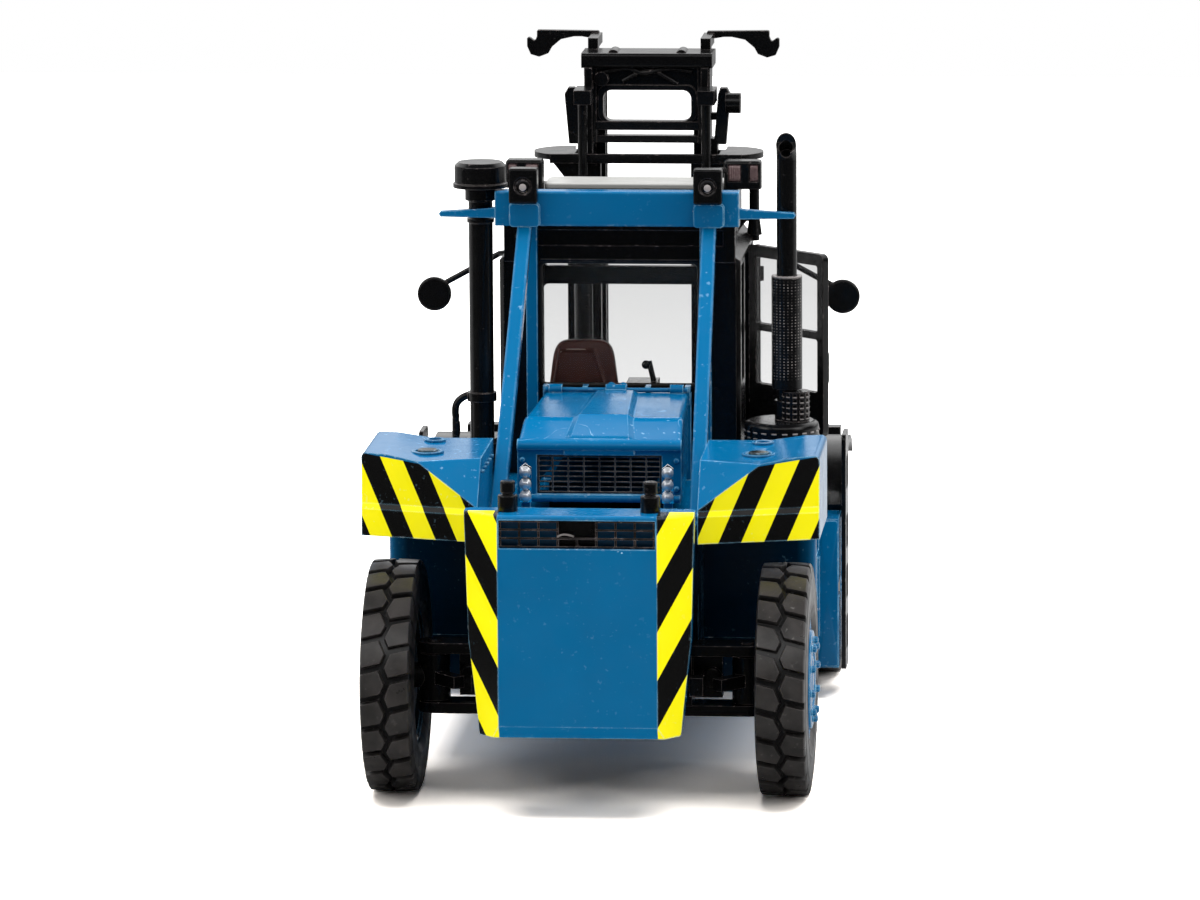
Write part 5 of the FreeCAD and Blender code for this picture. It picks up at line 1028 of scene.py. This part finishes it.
# %% Pads
def pad(half, centre, rows=40, around=72, power=5.0, taper=0.0):
    """Rounded box: rings |x/a|^p + |y/b|^p = 1 stacked along Z, shrunk towards both ends alike."""
    v = np.linspace(-1, 1, rows)
    v = np.sign(v) * np.abs(v) ** 0.6
    ring = np.clip(1 - np.abs(v) ** power, 0, 1) ** (1 / power)
    a = np.linspace(0, 2 * math.pi, around, endpoint=False)
    cx = np.sign(np.cos(a)) * np.abs(np.cos(a)) ** (2 / power)
    cy = np.sign(np.sin(a)) * np.abs(np.sin(a)) ** (2 / power)
    wide = half[0] * (1 - taper * v)
    x = (wide * ring)[:, None] * cx + centre[0]
    y = (half[1] * ring)[:, None] * cy + centre[1]
    z = np.broadcast_to((half[2] * v)[:, None] + centre[2], x.shape)
    return np.stack([x, y, z], axis=-1).reshape(-1, 3), grid_faces(rows, around, close_columns=True)


PANEL_FOOT = 44.0
PANEL_HEAD = 49.2
PANEL_LEFT_X = -9.7
PANEL_RIGHT_X = -2.6


def stitched(points, rear_y):
    """Moves rear-facing points out: a raised panel, and a welt along its top and slanted edges."""
    x, y, z = points.T
    top = np.clip((z - PANEL_FOOT) / (PANEL_HEAD - PANEL_FOOT), 0, 1)
    left, right = PANEL_LEFT_X + 0.9 * top, PANEL_RIGHT_X - 1.5 * top
    outside = np.maximum(np.maximum(left - x, x - right), z - PANEL_HEAD)
    rear = np.clip((rear_y - y) / 0.5, 0, 1)
    welt = 0.30 * np.exp(-(outside / 0.16) ** 2)
    panel = 0.16 / (1 + np.exp(np.clip(outside / 0.06, -30, 30)))
    y = y - rear * (welt + panel)
    return np.stack([x, y, z], axis=1)


print("panel", round(PANEL_HEAD - PANEL_FOOT, 2), "mm high")

# %% Back and cushion
BACK_HALF = (4.45, 1.1, 4.55)
BACK_Z = 45.95
CUSHION_HALF = (4.4, 4.5, 1.25)
CUSHION_Z = 41.85
CUSHION_AHEAD = 6.2
CROWN_RISE = 0.25
CHANNEL_X = 2.6
CHANNEL_WIDE = 0.22
CHANNEL_DEEP = 0.22
seat_x = (low("operator_seat", 0) + high("operator_seat", 0)) / 2
back_y = low("operator_seat", 1) + BACK_HALF[1]
back_points, back_faces = pad(BACK_HALF, (seat_x, back_y, BACK_Z), rows=90, around=160, taper=0.13)
back_points = stitched(back_points, back_y)
cushion_centre = (seat_x, back_y + CUSHION_AHEAD, CUSHION_Z)
cushion_points, cushion_faces = pad(CUSHION_HALF, cushion_centre, rows=30, around=96, power=4.0)
off_middle = cushion_points[:, 0] - seat_x
height = cushion_points[:, 2].copy()
crown = np.clip(1 - (off_middle / CUSHION_HALF[0]) ** 2, 0, 1) * (height > CUSHION_Z + 0.05)
off_channel = (np.abs(off_middle) - CHANNEL_X) / CHANNEL_WIDE
channel = np.exp(-off_channel ** 2) * (height > CUSHION_Z + 0.45)
cushion_points[:, 2] = height + CROWN_RISE * crown - CHANNEL_DEEP * channel
seat = new_piece("seat_pads", joined([(back_points, back_faces), (cushion_points, cushion_faces)]),
                 materials["seat_vinyl"], "machine", ["operator_seat"], sharp=80)

# %% Seat welt
welt_y = back_y - BACK_HALF[1] - 0.05
welt_path = through([(-8.9, welt_y + 0.10, 48.5), (-8.5, welt_y, 49.1), (-6.4, welt_y - 0.02, 49.25),
                     (-4.5, welt_y, 49.1), (-4.0, welt_y, 48.6), (-3.3, welt_y, 46.4),
                     (-2.6, welt_y + 0.02, 44.2)], 48)
# The welt's light brown is a painted highlight where it catches the light.
new_piece("seat_welt", carried(welt_path, circle(0.15, 8)), materials["seat_welt"], "machine")

# %% [markdown]
# ## Rear wheel hubs
# The rear rims have a broad flat hub with a ring of domed nuts. A rim is round, so it is
# one profile of (radius, distance along the axle) turned about the axle, and each nut is a
# small turned dome. The rim's inner side, which faces the machine, is black.

# %% Rim and nut profiles
WHEEL_X = 25.2
NUTS = 10
NUT_RING = 5.05
NUT_FACE = 3.4
RIM = [(8.55, -2.75), (8.6, 2.8), (7.9, 2.8), (7.5, 2.5), (7.2, 1.5), (6.75, 1.45), (6.6, 1.9),
       (6.5, 2.9), (6.3, 3.35), (5.95, 3.46), (4.1, 3.46), (3.9, 3.25), (3.1, 3.2), (2.8, 3.42),
       (1.5, 3.5), (0.0, 3.52)]
INNER = [(0.0, -2.1), (4.9, -2.2), (5.1, -0.6), (7.2, -0.4), (7.9, -2.4), (8.55, -2.75)]
NUT = [(0.50, -0.1), (0.50, 0.44), (0.40, 0.64), (0.0, 0.70)]


def rim_colours(n, link):
    """Blue outside the wheel, black on the side that faces the machine."""
    across = calc(n, link, "ABSOLUTE", object_axes(n, link)[0])
    outer = remap(n, link, across, (WHEEL_X - 1.0) * MM, (WHEEL_X - 0.8) * MM)
    return colour_mix(n, link, outer, INK, BLUE)


print("nuts", NUTS, "on a ring of", 2 * NUT_RING, "mm")

# %% Rims in place
materials["rim_paint"] = paint("rim_paint", rim_colours, **clean_blue)
for side, word in ((-1, "left"), (1, "right")):
    axis = (side, 0, 0)
    centre = np.array((side * WHEEL_X, REAR_AXLE / MM, TYRE_R))
    angles = 2 * math.pi * (np.arange(NUTS) + 0.3) / NUTS
    places = [centre + (side * NUT_FACE, NUT_RING * math.cos(a), NUT_RING * math.sin(a)) for a in angles]
    dressed = joined([turned(INNER + RIM, centre, axis, 64)] + [turned(NUT, p, axis, 8) for p in places])
    new_piece(word + "_rear_rim_dressed", dressed, materials["rim_paint"], word + "_rear_wheel",
              [word + "_rear_rim"])

# %% [markdown]
# ## Seals and seams
# Windows sit in black rubber seals, and the cab's rear wall has pressed seams. A curve with
# a bevel would draw them too. Here each is a small section carried along a path, a rounded
# loop round a pane or a straight line, so that the section can be any shape.

# %% Seals and seams
CAB_BACK = from_tail(CAB_REAR_IN) / MM
WINDOW_HALF = 10.75
WINDOW_LOW = 45.55
WINDOW_HIGH = 62.35
WINDOW_CORNER = 0.9
SEAL = [(-0.35, -0.12), (-0.28, 0.10), (-0.12, 0.22), (0.12, 0.22), (0.28, 0.10), (0.35, -0.12)]
round_window = rounded_loop(-WINDOW_HALF, WINDOW_HALF, WINDOW_LOW, WINDOW_HIGH, WINDOW_CORNER,
                            CAB_BACK + 0.02)
seal = carried(round_window, SEAL, (0, -1, 0), closed=True)
new_piece("rear_window_seal", seal, materials["rubber"], "machine")
SEAMS = ((10.6, 62.62, 0.13, 0.0), (10.2, 64.1, 0.10, 0.62), (10.2, 65.0, 0.07, 0.62))
seams = []
for half, z, radius, sunk in SEAMS:
    line = [(x, CAB_BACK - 0.36 + sunk, z) for x in (-half, 0.0, half)]
    seams.append(carried(line, circle(radius, 8)))
new_piece("cab_rear_seams", joined(seams), materials["black_paint"], "machine")

# %% [markdown]
# ## Lamps
# A work lamp has a small pale domed lens in a thick rim, both turned about its own axis. The
# roof lamps have fluted panes of a faded reddish plastic: a wave across the width of a grid,
# which falls to nothing at its border.

# %% Lamp lenses
WORK_LAMP_X = 12.3
ROOF_LAMP_X = 14.95
LENS_AHEAD = 0.42
RIM_AHEAD = 0.25
work_y = low("work_lamps", 1)
work_z = (low("work_lamps", 2) + high("work_lamps", 2)) / 2 - 0.15
DOME = [(0.72, 0.0), (0.72, 0.10), (0.60, 0.26), (0.36, 0.38), (0.0, 0.44)]
lens = turned(DOME, (WORK_LAMP_X, work_y + LENS_AHEAD, work_z), (0, -1, 0), 20)
LAMP_RIM = [(0.95, -0.2), (1.12, -0.1), (1.12, 0.12), (0.98, 0.2), (0.86, 0.12), (0.84, -0.2)]
rim = turned(LAMP_RIM, (WORK_LAMP_X, work_y + RIM_AHEAD, work_z), (0, -1, 0), 24)
materials["lamp_lens"] = paint("lamp_lens", (0.30, 0.27, 0.26), (0.6, 0.6, 0.6), 0.15, 0.3, 0.1)
materials["lamp_pane"] = paint("lamp_pane", (0.16, 0.105, 0.105), (0.35, 0.28, 0.28), 0.25, 0.4, 0.1)
new_piece("work_lamp_lenses", mirrored(lens), materials["lamp_lens"], "machine")
new_piece("work_lamp_rims", mirrored(rim), materials["black_paint"], "machine")


# %% Fluted panes
def fluted_pane(x0, x1, y, z0, z1, flutes=6):
    """A pane whose face waves across its width and rounds down to its edges; its back is flat."""
    s, t = np.meshgrid(np.linspace(0, 1, flutes * 8 + 1), np.linspace(0, 1, 9), indexing="ij")
    border = np.clip(np.minimum(np.minimum(s, 1 - s) * 12, np.minimum(t, 1 - t) * 8), 0, 1)
    bulge = border * (0.25 + 0.05 * np.cos(2 * math.pi * flutes * s))
    face = np.stack([x0 + (x1 - x0) * s, y - bulge, z0 + (z1 - z0) * t], axis=-1)
    flat = np.stack([face[..., 0], np.full_like(s, y + 0.05), face[..., 2]], axis=-1)
    rows, columns = s.shape
    return joined([(face.reshape(-1, 3), grid_faces(rows, columns)),
                   (flat.reshape(-1, 3), grid_faces(rows, columns)[:, ::-1])])


PANE_IN = 89.05
PANE_SPANS = ((-1.95, -0.2), (1.0, 2.15))
PANE_LOW = 1.05
PANE_HIGH = 3.35
roof_z = low("roof_lamps", 2)
pane_y = from_tail(PANE_IN) / MM
panes = [fluted_pane(ROOF_LAMP_X + a, ROOF_LAMP_X + b, pane_y, roof_z + PANE_LOW, roof_z + PANE_HIGH)
         for a, b in PANE_SPANS]
new_piece("roof_lamp_panes", mirrored(joined(panes)), materials["lamp_pane"], "machine")

# %% [markdown]
# ## Mast trim
# Hydraulic hoses cross the head of the mast and run down its beams. On a real truck they
# would be free cords. On a small model they are moulded on, so they are rigid ridges here:
# round sections carried along smooth curves, half sunk in the casting that they belong to.

# %% Moulded hoses
MAST_REAR_IN = 114.9
head_y = from_tail(MAST_REAR_IN - 1.0) / MM - 0.15
crossing = [through([(-6.2, head_y, 82.2), (-4.4, head_y - 0.2, 82.7), (-2.4, head_y - 0.3, 82.8),
                     (-0.4, head_y - 0.3, 82.1), (2.0, head_y - 0.3, 82.7), (4.2, head_y - 0.2, 82.8),
                     (6.2, head_y, 82.3)], 40),
            through([(-3.4, head_y, 81.0), (-1.6, head_y - 0.15, 82.0), (0.6, head_y - 0.15, 82.6),
                     (2.6, head_y - 0.15, 81.6), (4.2, head_y, 80.6)], 30)]
for side in (-1, 1):
    crossing.append(through([(side * 7.9, head_y - 0.55, 82.4), (side * 8.0, head_y - 0.6, 79.0),
                             (side * 7.5, head_y - 0.6, 76.0), (side * 7.6, head_y - 0.55, 73.2)], 24))
new_piece("mast_head_hoses", joined([carried(p, circle(0.34, 10)) for p in crossing]),
          materials["black_paint"], "inner_mast")

# %% [markdown]
# ## Rivets
# Blind rivets hold the hood's rear frame. A bump in the paint would hardly show from the
# side, so a rivet is a real low dome, the same turned profile in every place.

# %% Rivets
RIVET = [(0.42, -0.1), (0.42, 0.12), (0.31, 0.30), (0.0, 0.38)]
RIVET_SPOTS = ((10.05, 37.2), (10.05, 40.9), (9.2, 35.95))
RIVET_AHEAD = 0.42
rivet_y = low("hood", 1) + RIVET_AHEAD
one_side = [turned(RIVET, (x, rivet_y, z), (0, -1, 0), 10) for x, z in RIVET_SPOTS]
rivets = mirrored(joined(one_side))
new_piece("hood_rivets", rivets, materials["blue_paint"], "hood_lid")

# %% [markdown]
# ## Broken mesh
# The mesh in the tail is broken out in the middle, and one bent sliver of it is left. It is
# too thin to be a solid piece of its own, so it is a flat strip carried along a short curve.

# %% Broken mesh
grille_y = low("tail_grille", 1)
sliver = through([(-2.5, grille_y + 0.1, 36.7), (-1.8, grille_y - 0.1, 37.0),
                  (-1.0, grille_y - 0.1, 36.95), (-0.4, grille_y + 0.2, 36.7)], 16)
STRIP = [(-0.12, -0.05), (0.12, -0.05), (0.12, 0.05), (-0.12, 0.05)]
# A light grey that is a painted highlight, shared by this sliver, the silencer's slot lips and the
# sleeve's collar.
materials["highlight_grey"] = paint("highlight_grey", (0.17, 0.155, 0.15), (0.4, 0.38, 0.36), 0.22, 0.5, 0.2)
new_piece("mesh_sliver", carried(sliver, STRIP), materials["highlight_grey"], "machine")

# %% [markdown]
# ## Lamp bulbs
# Each lamp cluster beside the hood carries three bright domes. They are turned like the
# rivets, with a step in the profile for the bezel.

# %% Lamp bulbs
BULB_HEIGHTS = (36.9, 38.5, 40.1)
BULB_AHEAD = 0.42
BULB_INSET = 0.75
lamp_y = low("tail_lamps", 1) + BULB_AHEAD
lamp_x = high("tail_lamps", 0) - BULB_INSET
BULB = [(0.78, 0.0), (0.78, 0.16), (0.70, 0.30), (0.62, 0.34), (0.55, 0.52), (0.36, 0.70), (0.0, 0.78)]
bulbs = mirrored(joined([turned(BULB, (lamp_x, lamp_y, z), (0, -1, 0), 20) for z in BULB_HEIGHTS]))
silver = dict(worn=(0.8, 0.8, 0.8), rough=0.16, specks=0.1, peel=0.05, metallic=0.55, shade=0)
materials["bulb_silver"] = paint("bulb_silver", (0.50, 0.51, 0.53), **silver)
new_piece("lamp_bulbs", bulbs, materials["bulb_silver"], "machine")


# %% [markdown]
# ## Step covers
# The step boxes are closed behind by thin pressed covers with rounded corners. A cover is
# the loop of its outline, shrunk to its middle behind and in front, so it has no open edge.

# %% Step covers
def plate(loop, y, thick):
    """A flat plate from an upright loop: rings that close on its middle, behind and in front."""
    middle = loop.mean(axis=0)
    rings = np.array([middle + (loop - middle) * k for k in (0.0, 1.0, 1.0, 0.985, 0.0)])
    rings[..., 1] = np.array([y + 0.2, y + 0.2, y - 0.6 * thick, y - thick, y - thick])[:, None]
    return rings.reshape(-1, 3), grid_faces(5, len(loop), close_columns=True)


STEP_REAR_IN = 81.0
COVER_IN_X = 25.6
COVER_OUT_X = 28.45
COVER_LOW = 4.6
COVER_HIGH = 24.8
cover_loop = rounded_loop(COVER_IN_X, COVER_OUT_X, COVER_LOW, COVER_HIGH, 0.5, 0.0)
cover = plate(cover_loop, from_tail(STEP_REAR_IN) / MM, 0.15)
new_piece("step_end_covers", mirrored(cover), materials["blue_paint"], "machine")

# %% [markdown]
# ## Stacks
# The intake's drain pipe runs down behind the fender. The silencer's slots have pressed
# lips, which show as rows of bright dashes, and a collar closes the sleeve's top. Their
# light grey is a painted highlight. The lips are short arcs, and one function sets them out
# round a cylinder, row by row.

# %% Drain pipe
ELBOW_OUT = 3.6
stack_y = from_tail(STACK_IN) / MM
drain = through([(INTAKE_X - ELBOW_OUT, stack_y, z) for z in (41.2, 38.0, 33.4)], 12)
new_piece("intake_drain", carried(drain, circle(0.5, 12), (0, 1, 0)), materials["black_paint"],
          "machine")

# %% Slot lips and collar
SLEEVE_TOP = 60.6
SLOT_LOW = 41.74
SLOT_PITCH = 0.74
SLOT_ROWS = 5
CONE_R = 1.84
DRUM_R = 5.0
DRUM_ROWS = (39.35, 40.15)


def lips(centre, radius, heights, count, half_angle, thick):
    """Short arcs on a cylinder: one under each slot of each row."""
    turn = np.linspace(-half_angle, half_angle, 5)
    arcs = []
    for z in heights:
        for k in range(count):
            a = turn + 2 * math.pi * k / count
            x, y = centre[0] + radius * np.cos(a), centre[1] + radius * np.sin(a)
            arc = np.stack([x, y, np.full(len(a), z)], axis=1)
            arcs.append(carried(arc, circle(thick, 5), (0, 0, 1)))
    return joined(arcs)


cone_middle = (EXHAUST_X + 1.2, stack_y - 0.9)
drum_middle = (EXHAUST_X - 0.7, stack_y - 0.6)
cone_rows = [SLOT_LOW + SLOT_PITCH * k for k in range(SLOT_ROWS)]
cone_lips = lips(cone_middle, CONE_R, cone_rows, count=12, half_angle=0.15, thick=0.10)
drum_lips = lips(drum_middle, DRUM_R, DRUM_ROWS, count=22, half_angle=0.07, thick=0.13)
new_piece("silencer_slot_lips", joined([cone_lips, drum_lips]), materials["highlight_grey"], "machine")
COLLAR = [(1.42, 0.0), (2.0, 0.0), (2.08, 0.12), (2.0, 0.24), (1.5, 0.30), (1.42, 0.25)]
collar = turned(COLLAR, (EXHAUST_X, stack_y, SLEEVE_TOP - 0.02), (0, 0, 1), 32)
new_piece("exhaust_collar", collar, materials["highlight_grey"], "machine")
